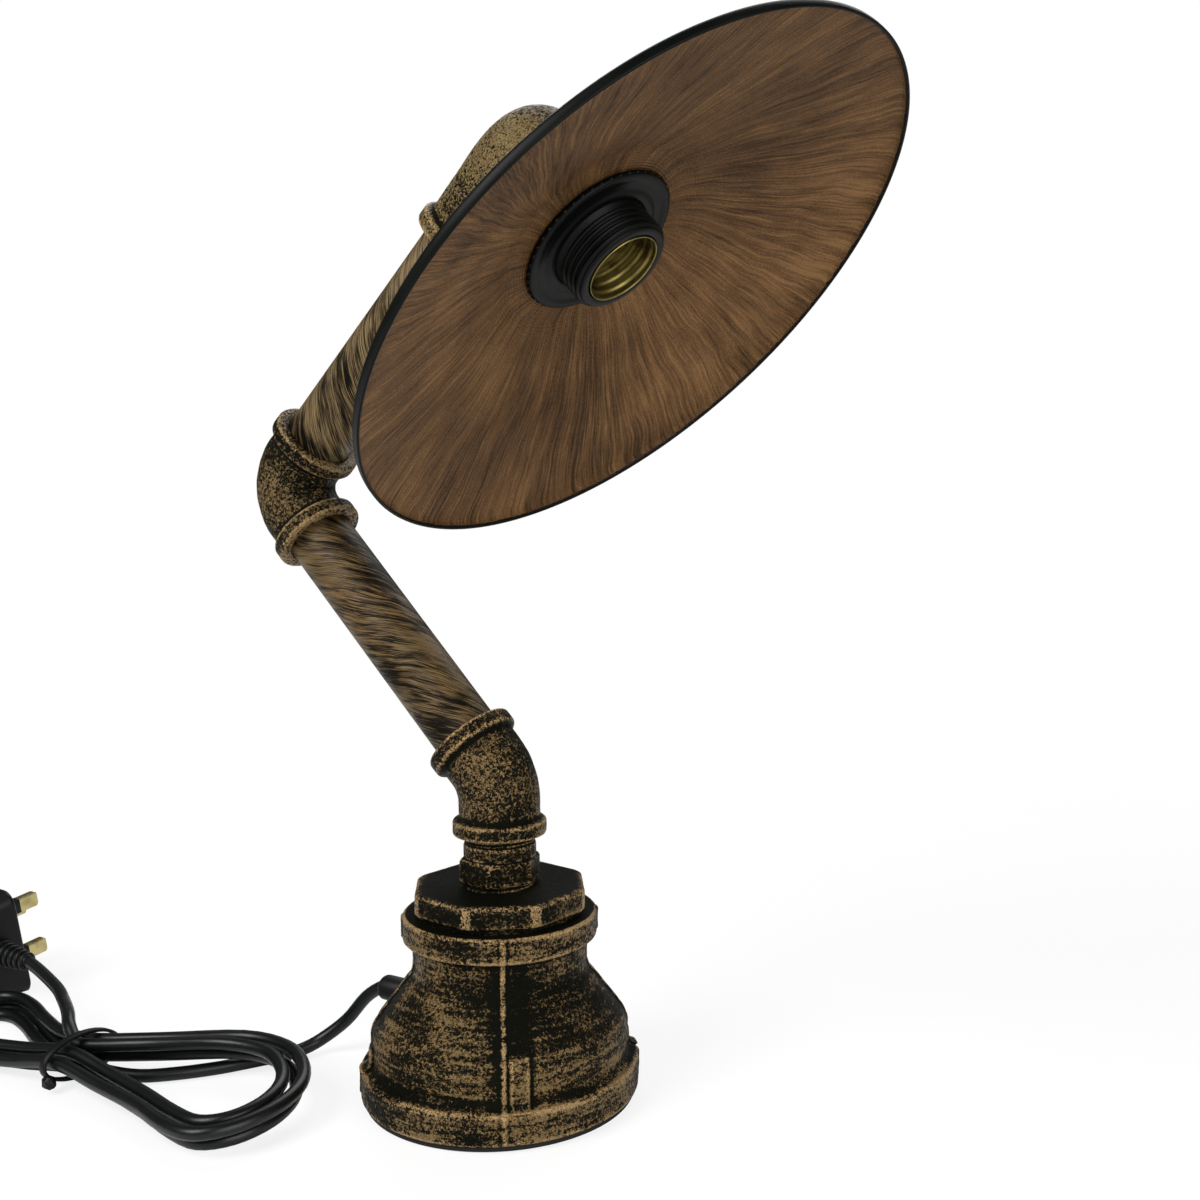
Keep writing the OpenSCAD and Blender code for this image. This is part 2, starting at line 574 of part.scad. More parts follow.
module hank_tie() color(black) {
    ring = [for (i = [0:20]) let (a = 360 * (i + 0.5) / 21)
        tie_at + [0, 15.9 * sin(a), 9.6 + 8.1 * cos(a)]];
    rings = [for (i = [0:20]) let (a = 360 * (i + 0.5) / 21, d = [0, sin(a), cos(a)])
        [for (k = [0:5]) let (t = 60 * k) ring[i] + 1.3 * (cos(t) * [1, 0, 0] + sin(t) * d)]];
    polyhedron(points = [for (q = rings) for (v = q) v],
        faces = [for (j = [0:20]) for (i = [0:5]) for (q = [0, 1])
            let (a = j * 6 + i, b = j * 6 + (i + 1) % 6, c = ((j + 1) % 21) * 6 + i,
                d = ((j + 1) % 21) * 6 + (i + 1) % 6)
            q == 0 ? [a, b, c] : [b, d, c]], convexity = 6);
}

// the plug lies on its drafted side
plug_at = [-262, -27, 0];
plug_turn = -4;
tilt = atan(plug_draft / plug_t);
plug_c = plug_w / 2 * cos(tilt) + 0.02;
module at_plug() translate(plug_at + [0, 0, plug_c]) rotate([0, 0, plug_turn])
    rotate([tilt, 0, 0]) rotate([0, 90, 90]) children();
relief_d = 10;
module plug_outline(e) hull() for (x = [-1, 1], y = [-1, 1])
    translate([x * (plug_w / 2 - 6 - e), y * (plug_l / 2 - 6 - e)]) circle(r = 6, $fn = 24);
module plug_body() color(black) at_plug() union() {
    difference() {
        translate([0, 0, -plug_t]) linear_extrude(height = plug_t, scale = plug_w / (plug_w - 2 * plug_draft))
            plug_outline(plug_draft);
        for (x = [-1, 1]) translate([x * pin_pitch / 2, -pin_pitch / 2, -8]) pin_hole(6.35, 4);
        translate([0, pin_pitch / 2, -8]) pin_hole(4, 8);
        translate([-4.6, -7, -1.5]) cube([9.2, 14, 3]);
    }
    translate([0, -plug_l / 2 + 3, -relief_d]) rotate([90, 0, 0])
        cylinder(r1 = 6, r2 = 3.6, h = relief_l + 3);
}
module pin_hole(w, h) translate([-w / 2 - seat_fit, -h / 2 - seat_fit, 0])
    cube([w + 2 * seat_fit, h + 2 * seat_fit, 12]);
module flat_pin(x) at_plug() translate([x, -pin_pitch / 2, -8 + seat_fit]) difference() {
    translate([-6.35 / 2, -2, 0]) cube([6.35, 4, 8 + pin_l]);
    for (s = [-1, 1]) translate([s * 6.35 / 2, 0, 8 + pin_l]) rotate([90, 45, 0]) cube([1.2, 1.2, 6], center = true);
}
module live_pin() color(brass) flat_pin(-pin_pitch / 2);
module neutral_pin() color(brass) flat_pin(pin_pitch / 2);
module earth_pin() color(brass) at_plug() translate([-2, pin_pitch / 2 - 4, -8 + seat_fit]) difference() {
    cube([4, 8, 8 + earth_l]);
    for (s = [0, 8]) translate([2, s, 8 + earth_l]) rotate([45, 0, 0]) cube([6, 1.4, 1.4], center = true);
}
module fuse_cover() color([0.12, 0.12, 0.12]) at_plug()
    translate([-4.55, -6.95, -1.45]) cube([9.1, 13.9, 1.6]);

// from the hank up to the relief of the plug
plug_exit = [cos(plug_turn) * (plug_l / 2 + relief_l), sin(plug_turn) * (plug_l / 2 + relief_l), 0]
    + [sin(plug_turn) * relief_d * cos(tilt), -cos(plug_turn) * relief_d * cos(tilt), plug_c - relief_d * sin(tilt)];
tail_route = [[-167, -59.5, 18], [-171, -57, 17.7], [-180, -51.5, 16.8], [-191, -46, 17.6],
    plug_at + plug_exit + [10, -1.6, -2], plug_at + plug_exit + [0.02, 0, 0]];
module cord_tail() color(black) swept(spline(tail_route, 4), cord_d / 2, 10);

base_reducer();
base_pad();
octagon_bush();
hex_nipple();
cord_gland();
gland_nut();
lower_elbow();
lower_pipe();
middle_elbow();
upper_pipe();
top_elbow();
holder_body();
holder_screw();
shade_ring();
shade();
screw_shell();
contact_base();
centre_contact();
side_contact();
terminal_live();
terminal_neutral();
lead_base();
lead_lower();
lead_upper();
lead_head();
cord();
cord_hank();
hank_tie();
cord_tail();
plug_body();
live_pin();
neutral_pin();
earth_pin();
fuse_cover();
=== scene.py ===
"""Looks of a table lamp made of cast pipe fittings, on its CAD frame.

The frame gives every place; the classes below build the pieces that show,
one class for each sub-assembly, and dress them and the CAD nodes.
Lengths inside the classes are millimetres, Blender's are metres.
"""
import logging
import math
from dataclasses import dataclass, field
from enum import Enum
from typing import Callable, Iterable, Sequence

import bmesh
import bpy
import numpy as np
from mathutils import Matrix, Vector, noise


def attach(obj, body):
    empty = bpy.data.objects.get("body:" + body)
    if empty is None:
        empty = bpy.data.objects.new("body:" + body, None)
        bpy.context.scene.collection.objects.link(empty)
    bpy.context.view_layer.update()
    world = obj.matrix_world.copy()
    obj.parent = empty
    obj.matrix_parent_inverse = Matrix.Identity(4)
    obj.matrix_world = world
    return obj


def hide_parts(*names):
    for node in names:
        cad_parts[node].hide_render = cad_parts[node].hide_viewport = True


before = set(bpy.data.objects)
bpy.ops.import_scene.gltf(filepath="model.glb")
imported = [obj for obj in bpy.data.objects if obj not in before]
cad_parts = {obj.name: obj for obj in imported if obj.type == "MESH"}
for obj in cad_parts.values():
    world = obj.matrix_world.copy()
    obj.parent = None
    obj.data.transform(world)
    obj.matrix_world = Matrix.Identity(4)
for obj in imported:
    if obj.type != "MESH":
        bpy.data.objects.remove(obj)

LOG = logging.getLogger("lamp")
MM = 0.001
Point = tuple[float, float, float]
Profile = list[tuple[float, float]]
Tree = bpy.types.NodeTree
Socket = bpy.types.NodeSocket


class Spot(Enum):
    """The centres that the arms are hung on, in mm."""

    LOW = (0.0, 0.0, 118.2)
    MID = (-104.581, 0.0, 222.781)
    TOP = (12.516, 0.0, 339.878)


HALF = math.sqrt(0.5)
UP = Vector((0.0, 0.0, 1.0))
DOWN_ARM = Vector((-HALF, 0.0, HALF))
UP_ARM = Vector((HALF, 0.0, HALF))
HEAD = Vector((HALF, 0.0, -HALF))


# ---------------------------------------------------------------- node tools


def linear(hex_colour: str) -> tuple[float, float, float, float]:
    """Turns an sRGB hex colour into Blender's linear RGBA.

    Args:
        hex_colour: Six hex digits, with or without a leading hash.

    Returns:
        The linear colour with alpha 1.
    """
    digits = hex_colour.lstrip("#")
    parts = [int(digits[i:i + 2], 16) / 255 for i in (0, 2, 4)]
    return tuple(c / 12.92 if c <= 0.04045 else ((c + 0.055) / 1.055) ** 2.4 for c in parts) + (1.0,)


def feed(tree: Tree, node: bpy.types.Node, values: dict) -> None:
    """Links or sets a node's inputs.

    Args:
        tree: The tree that holds the node.
        node: The node.
        values: Input name or number to an output socket or a plain value.
    """
    for name, value in values.items():
        if isinstance(value, Socket):
            tree.links.new(value, node.inputs[name])
        else:
            node.inputs[name].default_value = value


def add(tree: Tree, kind: str, links: dict | None = None, **settings) -> bpy.types.Node:
    """Adds one node with its settings and incoming links.

    Args:
        tree: The tree that gets the node.
        kind: The node's type name.
        links: Input name or number to an output socket or a plain value.
        **settings: Attributes set on the node before its inputs.

    Returns:
        The new node.
    """
    node = tree.nodes.new(kind)
    for name, value in settings.items():
        setattr(node, name, value)
    feed(tree, node, links or {})
    return node


def math_op(tree: Tree, op: str, a: Socket | float, b: Socket | float = 0.0) -> Socket:
    """Joins two values with one arithmetic operation.

    Args:
        tree: The tree.
        op: The operation's name.
        a: First value.
        b: Second value.

    Returns:
        The result's output.
    """
    return add(tree, "ShaderNodeMath", {0: a, 1: b}, operation=op).outputs[0]


def times(tree: Tree, a: Socket | float, b: Socket | float) -> Socket:
    """The product of two values."""
    return math_op(tree, "MULTIPLY", a, b)


def plus(tree: Tree, first: Socket, *more: Socket | float) -> Socket:
    """The sum of two or more values.

    Args:
        tree: The tree.
        first: First value.
        *more: The values added to it, in order.

    Returns:
        The sum's output.
    """
    total = first
    for value in more:
        total = math_op(tree, "ADD", total, value)
    return total


def swing(tree: Tree, value: Socket, gain: float) -> Socket:
    """How far a 0..1 noise is from its middle, times a gain."""
    return times(tree, math_op(tree, "SUBTRACT", value, 0.5), gain)


def ramp(tree: Tree, value: Socket, low: float, high: float) -> Socket:
    """Maps low..high to a soft 0..1.

    Args:
        tree: The tree.
        value: What is mapped.
        low: Where the result is 0.
        high: Where the result is 1.

    Returns:
        The result's output.
    """
    return add(tree, "ShaderNodeMapRange", {"Value": value, "From Min": low, "From Max": high},
               interpolation_type="SMOOTHSTEP", clamp=True).outputs[0]


def span(tree: Tree, value: Socket, low: Socket | float, high: float) -> Socket:
    """Maps 0..1 to low..high in a straight line."""
    return add(tree, "ShaderNodeMapRange", {"Value": value, "To Min": low, "To Max": high}).outputs[0]


def blend_colour(tree: Tree, factor: Socket | float, first: Socket | str, second: Socket | str) -> Socket:
    """Mixes two colours.

    Args:
        tree: The tree.
        factor: 0 for the first colour, 1 for the second.
        first: A colour output or an sRGB hex.
        second: A colour output or an sRGB hex.

    Returns:
        The colour output.
    """
    pair = {slot: linear(c) if isinstance(c, str) else c for slot, c in ((6, first), (7, second))}
    return add(tree, "ShaderNodeMix", {0: factor, **pair}, data_type="RGBA", blend_type="MIX").outputs[2]


def mottle(tree: Tree, place: Socket, scale: float, detail: float, rough: float = 0.5,
           twist: float = 0.0) -> Socket:
    """A 0..1 noise.

    Args:
        tree: The tree.
        place: Where it is read.
        scale: Cells to the metre.
        detail: Octaves.
        rough: Share of the finer octaves.
        twist: Distortion.

    Returns:
        The noise's output.
    """
    return add(tree, "ShaderNodeTexNoise", {"Vector": place, "Scale": scale, "Detail": detail,
               "Roughness": rough, "Distortion": twist}).outputs[0]


def emboss(tree: Tree, shader: bpy.types.Node, height: Socket, strength: float, depth_mm: float) -> None:
    """Gives a shader a bump.

    Args:
        tree: The tree.
        shader: The shader.
        height: A 0..1 height.
        strength: The bump's strength.
        depth_mm: Its depth in mm.
    """
    bump = add(tree, "ShaderNodeBump", {"Height": height, "Strength": strength, "Distance": depth_mm * MM})
    feed(tree, shader, {"Normal": bump.outputs[0]})


def object_coords(tree: Tree) -> Socket:
    """Object coordinates, in metres."""
    return add(tree, "ShaderNodeTexCoord").outputs["Object"]


def local_coords(tree: Tree, centre: Sequence[float], axis: Vector) -> Socket:
    """Object coordinates moved to a centre and turned so that axis is Z.

    Args:
        tree: The material's tree.
        centre: The centre in mm.
        axis: The direction that becomes Z.

    Returns:
        The vector output, in metres.
    """
    moved = add(tree, "ShaderNodeVectorMath", {0: object_coords(tree), 1: [-c * MM for c in centre]},
                operation="ADD")
    turn = axis.rotation_difference(UP).to_euler()
    return add(tree, "ShaderNodeMapping", {"Vector": moved.outputs[0], "Rotation": tuple(turn)},
               vector_type="POINT").outputs[0]


def level_part(tree: Tree, split: bpy.types.Node) -> Socket:
    """The part of a split vector that lies across the Z axis."""
    return add(tree, "ShaderNodeCombineXYZ", {0: split.outputs[0], 1: split.outputs[1]}).outputs[0]


def ray_of(tree: Tree, flat: Socket, angle: Socket) -> Socket:
    """The direction away from the Z axis, turned about it.

    Args:
        tree: The tree.
        flat: The place across the axis.
        angle: The turn in radians.

    Returns:
        A vector output of length 1.
    """
    turned = add(tree, "ShaderNodeVectorRotate", {"Vector": flat, "Angle": angle},
                 rotation_type="Z_AXIS").outputs[0]
    return add(tree, "ShaderNodeVectorMath", {0: turned}, operation="NORMALIZE").outputs[0]


def hair(tree: Tree, ray: Socket, run: Socket, across: float, along: float, detail: float,
         rough: float) -> Socket:
    """Bristle marks: noise drawn out along a run.

    Args:
        tree: The tree.
        ray: The direction that the marks keep to.
        run: The distance along them.
        across: Cells to the radian.
        along: Cells to the metre.
        detail: Octaves.
        rough: Share of the finer octaves.

    Returns:
        The noise's output.
    """
    wide = add(tree, "ShaderNodeVectorMath", {0: ray, "Scale": across}, operation="SCALE").outputs[0]
    drawn = add(tree, "ShaderNodeCombineXYZ", {2: times(tree, run, along)}).outputs[0]
    place = add(tree, "ShaderNodeVectorMath", {0: wide, 1: drawn}, operation="ADD").outputs[0]
    return mottle(tree, place, 1.0, detail, rough)


# ---------------------------------------------------------------- finishes


@dataclass(frozen=True)
class Finish:
    """A finish: the base of every material here."""

    name: str

    def make(self) -> bpy.types.Material:
        """Builds the material once and gives it back afterwards.

        Returns:
            The material.
        """
        made = bpy.data.materials.get(self.name)
        if made:
            return made
        made = bpy.data.materials.new(self.name)
        made.use_nodes = True
        tree = made.node_tree
        tree.nodes.clear()
        shader = add(tree, "ShaderNodeBsdfPrincipled")
        add(tree, "ShaderNodeOutputMaterial", {0: shader.outputs[0]})
        self.fill(tree, shader)
        return made

    def fill(self, tree: Tree, shader: bpy.types.Node) -> None:
        """Sets the shader's inputs; each finish has its own."""
        raise NotImplementedError


@dataclass(frozen=True)
class CastIronAntiqued(Finish):
    """Sand-cast iron, painted near-black and dry-brushed with old gold.

    The sand mould leaves pebbles about 1 mm across. The brush only meets
    their tops, so the gold stays in specks between dark hollows, and it is
    thicker on edges that stand proud.
    """

    centre: Point = (0.0, 0.0, 0.0)
    axis: Point = (0.0, 0.0, 1.0)
    base: str = "070804"
    cloudy: str = "0F0F09"
    thin_gold: str = "4E3D22"
    gold: str = "846A3E"
    bright: str = "A5875A"
    cover: float = 0.5
    streak: float = 0.5
    patchy: float = 0.40
    proud_gain: float = 0.16
    sunk_gain: float = 0.34
    pebble_mm: float = 1.0

    def fill(self, tree: Tree, shader: bpy.types.Node) -> None:
        """Sets the shader's inputs; see Finish.fill."""
        coords = local_coords(tree, self.centre, Vector(self.axis))
        cells = 1.0 / (self.pebble_mm * MM)
        grain = mottle(tree, coords, cells, 4.0, 0.6, 0.9)
        # brush strokes run round the piece: about 16 mm across the axis, 1.5 mm along it
        squeezed = add(tree, "ShaderNodeMapping", {"Vector": coords, "Scale": (1.0, 1.0, 10.0)}).outputs[0]
        strokes = mottle(tree, squeezed, 62.0, 5.0, 0.62)
        clouds = mottle(tree, coords, 36.0, 2.0)
        rim = add(tree, "ShaderNodeAttribute", attribute_name="rim", attribute_type="GEOMETRY").outputs["Fac"]
        proud = math_op(tree, "MAXIMUM", rim, 0.0)
        sunk = math_op(tree, "MINIMUM", rim, 0.0)
        level = plus(tree, grain, swing(tree, strokes, self.streak), swing(tree, clouds, self.patchy),
                     times(tree, proud, self.proud_gain), times(tree, sunk, self.sunk_gain), self.cover - 0.5)
        speck = ramp(tree, level, 0.48, 0.62)
        grit = mottle(tree, coords, cells * 2.6, 2.0)
        tint = blend_colour(tree, ramp(tree, grit, 0.36, 0.66), self.thin_gold, self.gold)
        rubbed = times(tree, ramp(tree, proud, 0.12, 0.6), ramp(tree, grit, 0.36, 0.58))
        tint = blend_colour(tree, rubbed, tint, self.bright)
        coat = blend_colour(tree, clouds, self.base, self.cloudy)
        feed(tree, shader, {"Base Color": blend_colour(tree, times(tree, speck, 0.95), coat, tint),
                            "Specular IOR Level": span(tree, speck, 0.03, 0.24),
                            "Roughness": span(tree, speck, 0.46, 0.44)})
        emboss(tree, shader, grain, 0.9, 1.0)


@dataclass(frozen=True)
class TubeBrushed(Finish):
    """Steel tube, black, with bronze paint wiped along a steep screw line.

    The bristles leave hair lines about 0.35 mm wide and 12 mm long that
    climb round the tube at half a right angle, in bands where the brush
    was full or empty.
    """

    centre: Point = (0.0, 0.0, 0.0)
    axis: Point = (0.0, 0.0, 1.0)
    twist_per_m: float = 80.0
    dark: str = "0C0904"
    low: str = "2A2013"
    high: str = "6A532E"
    roughness: float = 0.40

    def fill(self, tree: Tree, shader: bpy.types.Node) -> None:
        """Sets the shader's inputs; see Finish.fill."""
        coords = local_coords(tree, self.centre, Vector(self.axis))
        split = add(tree, "ShaderNodeSeparateXYZ", {0: coords})
        height = split.outputs[2]
        wobble = mottle(tree, coords, 30.0, 2.0)
        angle = plus(tree, times(tree, height, self.twist_per_m), times(tree, wobble, 0.9))
        ray = ray_of(tree, level_part(tree, split), angle)
        hairs = hair(tree, ray, height, 26.0, 125.0, 5.0, 0.68)
        bands = hair(tree, ray, height, 4.2, 60.0, 3.0, 0.6)
        patch = mottle(tree, coords, 48.0, 2.0)
        paint = ramp(tree, plus(tree, hairs, swing(tree, bands, 0.8), swing(tree, patch, 0.6)), 0.38, 0.62)
        tint = blend_colour(tree, ramp(tree, hairs, 0.36, 0.68), self.low, self.high)
        feed(tree, shader, {"Base Color": blend_colour(tree, paint, self.dark, tint),
                            "Specular IOR Level": span(tree, paint, 0.05, 0.22), "Roughness": self.roughness})
        emboss(tree, shader, hairs, 0.55, 0.4)


@dataclass(frozen=True)
class ShadeSheet(Finish):
    """Spun sheet with copper-brown lacquer brushed from the middle outward.

    Bristle marks are hairs 0.5 mm wide and 30 mm long that lean a little
    from the radius. The coat is worn darker in some sweeps, stops in a
    ragged line at the lip, and shows the lathe's rings round the holder.
    """

    lip_mm: float = 73.6
    lean: float = 0.15
    worn: str = "281A09"
    coat: str = "503820"
    light: str = "735534"
    lip_black: str = "090B08"
    lathe_mm: float = 1.1
    roughness: float = 0.55
    specular: float = 0.10

    def fill(self, tree: Tree, shader: bpy.types.Node) -> None:
        """Sets the shader's inputs; see Finish.fill."""
        coords = local_coords(tree, Spot.TOP.value, HEAD)
        split = add(tree, "ShaderNodeSeparateXYZ", {0: coords})
        flat = level_part(tree, split)
        radius = add(tree, "ShaderNodeVectorMath", {0: flat}, operation="LENGTH").outputs["Value"]
        wobble = mottle(tree, coords, 22.0, 2.0)
        # a spiral of equal lean at every radius, counted from 25 mm
        spiral = times(tree, math_op(tree, "LOGARITHM", times(tree, radius, 40.0), math.e), self.lean)
        ray = ray_of(tree, flat, plus(tree, spiral, swing(tree, wobble, 0.14)))
        hairs = hair(tree, ray, radius, 95.0, 40.0, 5.0, 0.68)
        sweep = hair(tree, ray, radius, 16.0, 26.0, 4.0, 0.62)
        grit = mottle(tree, coords, 2100.0, 2.0)
        clouds = mottle(tree, coords, 17.0, 4.0, 0.6)
        level = plus(tree, hairs, swing(tree, sweep, 0.45), swing(tree, clouds, 0.62),
                     swing(tree, grit, 0.55))
        colour = blend_colour(tree, ramp(tree, level, 0.27, 0.53), self.worn, self.coat)
        colour = blend_colour(tree, times(tree, ramp(tree, level, 0.50, 0.74), 0.85), colour, self.light)
        # the coat ends in a ragged line near the lip
        edge = plus(tree, split.outputs[2], times(tree, hairs, 2.6 * MM))
        black = ramp(tree, edge, (self.lip_mm - 0.05) * MM, (self.lip_mm + 0.35) * MM)
        feed(tree, shader, {"Base Color": blend_colour(tree, black, colour, self.lip_black),
                            "Specular IOR Level": self.specular, "Roughness": self.roughness})
        # the lathe's rings fade between 36 and 48 mm from the middle
        rings = math_op(tree, "SINE", times(tree, radius, 2 * math.pi / (self.lathe_mm * MM)))
        near = math_op(tree, "SUBTRACT", 1.0, ramp(tree, radius, 36.0 * MM, 48.0 * MM))
        height = plus(tree, hairs, times(tree, grit, 0.6), times(tree, times(tree, rings, near), 0.35))
        emboss(tree, shader, height, 0.6, 0.35)


@dataclass(frozen=True)
class Moulded(Finish):
    """Moulded plastic or rubber: one colour, a faint unevenness and grain."""

    colour: str = "0D0F0D"
    second: str = "141614"
    roughness: float = 0.35
    specular: float = 0.5
    grain_mm: float = 0.5
    bump: float = 0.08

    def fill(self, tree: Tree, shader: bpy.types.Node) -> None:
        """Sets the shader's inputs; see Finish.fill."""
        coords = object_coords(tree)
        smudge = mottle(tree, coords, 55.0, 3.0)
        feed(tree, shader, {
            "Base Color": blend_colour(tree, ramp(tree, smudge, 0.35, 0.7), self.colour, self.second),
            "Roughness": span(tree, smudge, self.roughness * 0.85, self.roughness * 1.2),
            "Specular IOR Level": self.specular})
        emboss(tree, shader, mottle(tree, coords, 1 / (self.grain_mm * MM), 2.0), self.bump, 0.2)


@dataclass(frozen=True)
class DrawnMetal(Finish):
    """Drawn or pressed bright metal with faint lines along its length."""

    colour: str = "C9B274"
    dark: str = "8E7B48"
    roughness: float = 0.28
    lines_mm: float = 0.3

    def fill(self, tree: Tree, shader: bpy.types.Node) -> None:
        """Sets the shader's inputs; see Finish.fill."""
        coords = object_coords(tree)
        stretched = add(tree, "ShaderNodeMapping", {"Vector": coords, "Scale": (1.0, 0.12, 1.0)}).outputs[0]
        lines = mottle(tree, stretched, 1 / (self.lines_mm * MM), 3.0)
        tarnish = mottle(tree, coords, 160.0, 3.0)
        feed(tree, shader, {
            "Base Color": blend_colour(tree, ramp(tree, tarnish, 0.42, 0.75), self.colour, self.dark),
            "Metallic": 1.0,
            "Roughness": span(tree, lines, self.roughness * 0.8, self.roughness * 1.4)})
        emboss(tree, shader, lines, 0.1, 0.1)


# moulded phenolic lampholder: dense, black, a satin shine on its ridges
PHENOLIC = Moulded("phenolic_moulding", "040504", "070907", 0.38, 0.09, 0.6, 0.05)
# black lacquer on the outside of the shade, with a soft gloss
LACQUER = Moulded("black_lacquer", "040604", "090B08", 0.42, 0.08, 0.9, 0.10)
# nylon of the cord bush and tie: duller and greyer
NYLON = Moulded("nylon_moulding", "060806", "0A0C0A", 0.46, 0.18, 0.4, 0.12)
# soft PVC sheath: deep black with one long soft highlight
SHEATH = Moulded("pvc_sheath", "050807", "080B09", 0.34, 0.28, 0.7, 0.10)
# PVC moulded on the plug: fine spark-eroded skin
PLUG_PVC = Moulded("pvc_plug", "060907", "0A0D0B", 0.40, 0.20, 0.35, 0.14)
# black rubber sheet under the foot: matt, with a coarse grain
RUBBER = Moulded("rubber_pad", "0B0B0A", "121210", 0.75, 0.3, 0.8, 0.3)
# glazed steatite of the contact insert: off-white
STEATITE = Moulded("steatite_insert", "CFC9B8", "BDB6A2", 0.3, 0.5, 0.8, 0.05)
# drawn brass of the pins and contacts: pale, a little dull
BRASS_PIN = DrawnMetal("brass_pin", "BDB07C", "9C8F60", 0.33, 0.25)
# rolled brass of the lamp shell: darker, tarnished
BRASS_SHELL = DrawnMetal("brass_shell", "8D7F4A", "4E4628", 0.34, 0.4)
# blackened steel of the grub screw
SCREW_STEEL = DrawnMetal("blackened_screw", "2A2926", "151412", 0.42, 0.3)


# ---------------------------------------------------------------- mesh tools


def face_outward(mesh: bpy.types.Mesh) -> None:
    """Turns all of a mesh's faces outward."""
    bm = bmesh.new()
    bm.from_mesh(mesh)
    bmesh.ops.recalc_face_normals(bm, faces=bm.faces)
    bm.to_mesh(mesh)
    bm.free()


def shown(name: str, data: bpy.types.ID) -> bpy.types.Object:
    """Makes an object of some data and links it into the scene."""
    made = bpy.data.objects.new(name, data)
    bpy.context.scene.collection.objects.link(made)
    return made


def put(name: str, points: Iterable, faces: Sequence, body: str, finish: Finish, nodes: Sequence[str] = (),
        smooth: bool = True, rim: bool = False,
        worn: Callable[[float, float, float], float] | None = None) -> bpy.types.Object:
    """Makes a piece from points in mm and sets it on its body.

    Args:
        name: The piece's name.
        points: Its points in mm in the lamp's frame.
        faces: Its faces, as point numbers that turn outward.
        body: The CAD body that it rides on.
        finish: Its finish.
        nodes: The CAD nodes that it stands for.
        smooth: Whether it is shaded smooth.
        rim: Whether the edges that stand proud are marked for the finish.
        worn: See mark_rims.

    Returns:
        The new object.
    """
    mesh = bpy.data.meshes.new(name)
    mesh.from_pydata([tuple(c * MM for c in p) for p in points], [], faces)
    mesh.validate()
    face_outward(mesh)
    mesh.shade_smooth() if smooth else mesh.shade_flat()
    piece = shown(name, mesh)
    if rim:
        mark_rims(mesh, worn)
    mesh.materials.append(finish.make())
    settle(piece, body, nodes)
    return piece


def settle(piece: bpy.types.Object, body: str, nodes: Sequence[str] = ()) -> None:
    """Rides a finished piece on its body and reports it.

    Args:
        piece: The piece.
        body: The CAD body.
        nodes: The CAD nodes that it stands for.
    """
    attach(piece, body)
    if nodes:
        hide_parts(*nodes)
    LOG.info("piece %s on %s, %d faces", piece.name, body,
             len(piece.data.polygons) if piece.type == "MESH" else 0)


def dress(name: str, finish: Finish) -> bpy.types.Object:
    """Gives a CAD node a finish in all its slots.

    Args:
        name: The node's name.
        finish: Its finish.

    Returns:
        The node's object.
    """
    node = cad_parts[name]
    material = finish.make()
    if not node.data.materials:
        node.data.materials.append(material)
    for slot in node.material_slots:
        slot.material = material
    LOG.info("CAD node %s dressed in %s", node.name, finish.name)
    return node


def mark_rims(mesh: bpy.types.Mesh, worn: Callable[[float, float, float], float] | None = None) -> None:
    """Writes how far each point stands proud of its neighbours as "rim".

    Args:
        mesh: A mesh in metres with outward normals.
        worn: More or less of it at a place in mm, or None; on the bell and the octagon it holds dry-brush
            wear and painted shade.
    """
    near_m, unit_m, gain = 0.0004, 0.001, 4.0
    count = len(mesh.vertices)
    places = np.empty(count * 3)
    mesh.vertices.foreach_get("co", places)
    places = places.reshape(-1, 3)
    normals = np.empty(count * 3)
    mesh.vertex_normals.foreach_get("vector", normals)
    normals = normals.reshape(-1, 3)
    pairs = np.empty(len(mesh.edges) * 2, dtype=np.int64)
    mesh.edges.foreach_get("vertices", pairs)
    pairs = pairs.reshape(-1, 2)
    score, weight = np.zeros(count), np.zeros(count)
    for a, b in ((0, 1), (1, 0)):
        here, there = pairs[:, a], pairs[:, b]
        step = places[there] - places[here]
        size = np.linalg.norm(step, axis=1) + 1e-9
        value = -(normals[here] * step).sum(1) / size / np.maximum(size, near_m) * unit_m
        np.add.at(score, here, value)
        np.add.at(weight, here, 1.0)
    score = score / np.maximum(weight, 1)
    # two rounds of sharing with the neighbours
    for _ in range(2):
        total, share = score.copy(), np.ones(count)
        for a, b in ((0, 1), (1, 0)):
            np.add.at(total, pairs[:, a], score[pairs[:, b]])
            np.add.at(share, pairs[:, a], 1.0)
        score = total / share
    score = np.clip(score * gain, -1.0, 1.0)
    if worn:
        score += np.array([worn(*(c / MM for c in p)) for p in places])
    layer = mesh.attributes.new("rim", "FLOAT", "POINT")
    layer.data.foreach_set("value", np.clip(score, -1.0, 1.0).astype(np.float32))


def arc(cx: float, cy: float, r: float, a0: float, a1: float, n: int) -> Profile:
    """Points on an arc.

    Args:
        cx: Its centre's first coordinate.
        cy: Its centre's second coordinate.
        r: Its radius.
        a0: First angle in degrees.
        a1: Last angle in degrees.
        n: Number of steps.

    Returns:
        The points.
    """
    return [(cx + r * math.cos(math.radians(a0 + (a1 - a0) * i / n)),
             cy + r * math.sin(math.radians(a0 + (a1 - a0) * i / n))) for i in range(n + 1)]


def fine(line: Profile, step: float) -> Profile:
    """Cuts a profile's long straight runs into steps of about one size."""
    out = [line[0]]
    for a, b in zip(line[:-1], line[1:]):
        n = max(1, round(math.dist(a, b) / step))
        out += [(a[0] + (b[0] - a[0]) * k / n, a[1] + (b[1] - a[1]) * k / n) for k in range(1, n + 1)]
    return out


def ease(v: float) -> float:
    """A soft step from 0 to 1 while v goes from 0 to 1."""
    v = min(1.0, max(0.0, v))
    return v * v * (3 - 2 * v)


def held_in(v: float) -> float:
    """A value kept between 0 and 1."""
    return max(0.0, min(1.0, v))


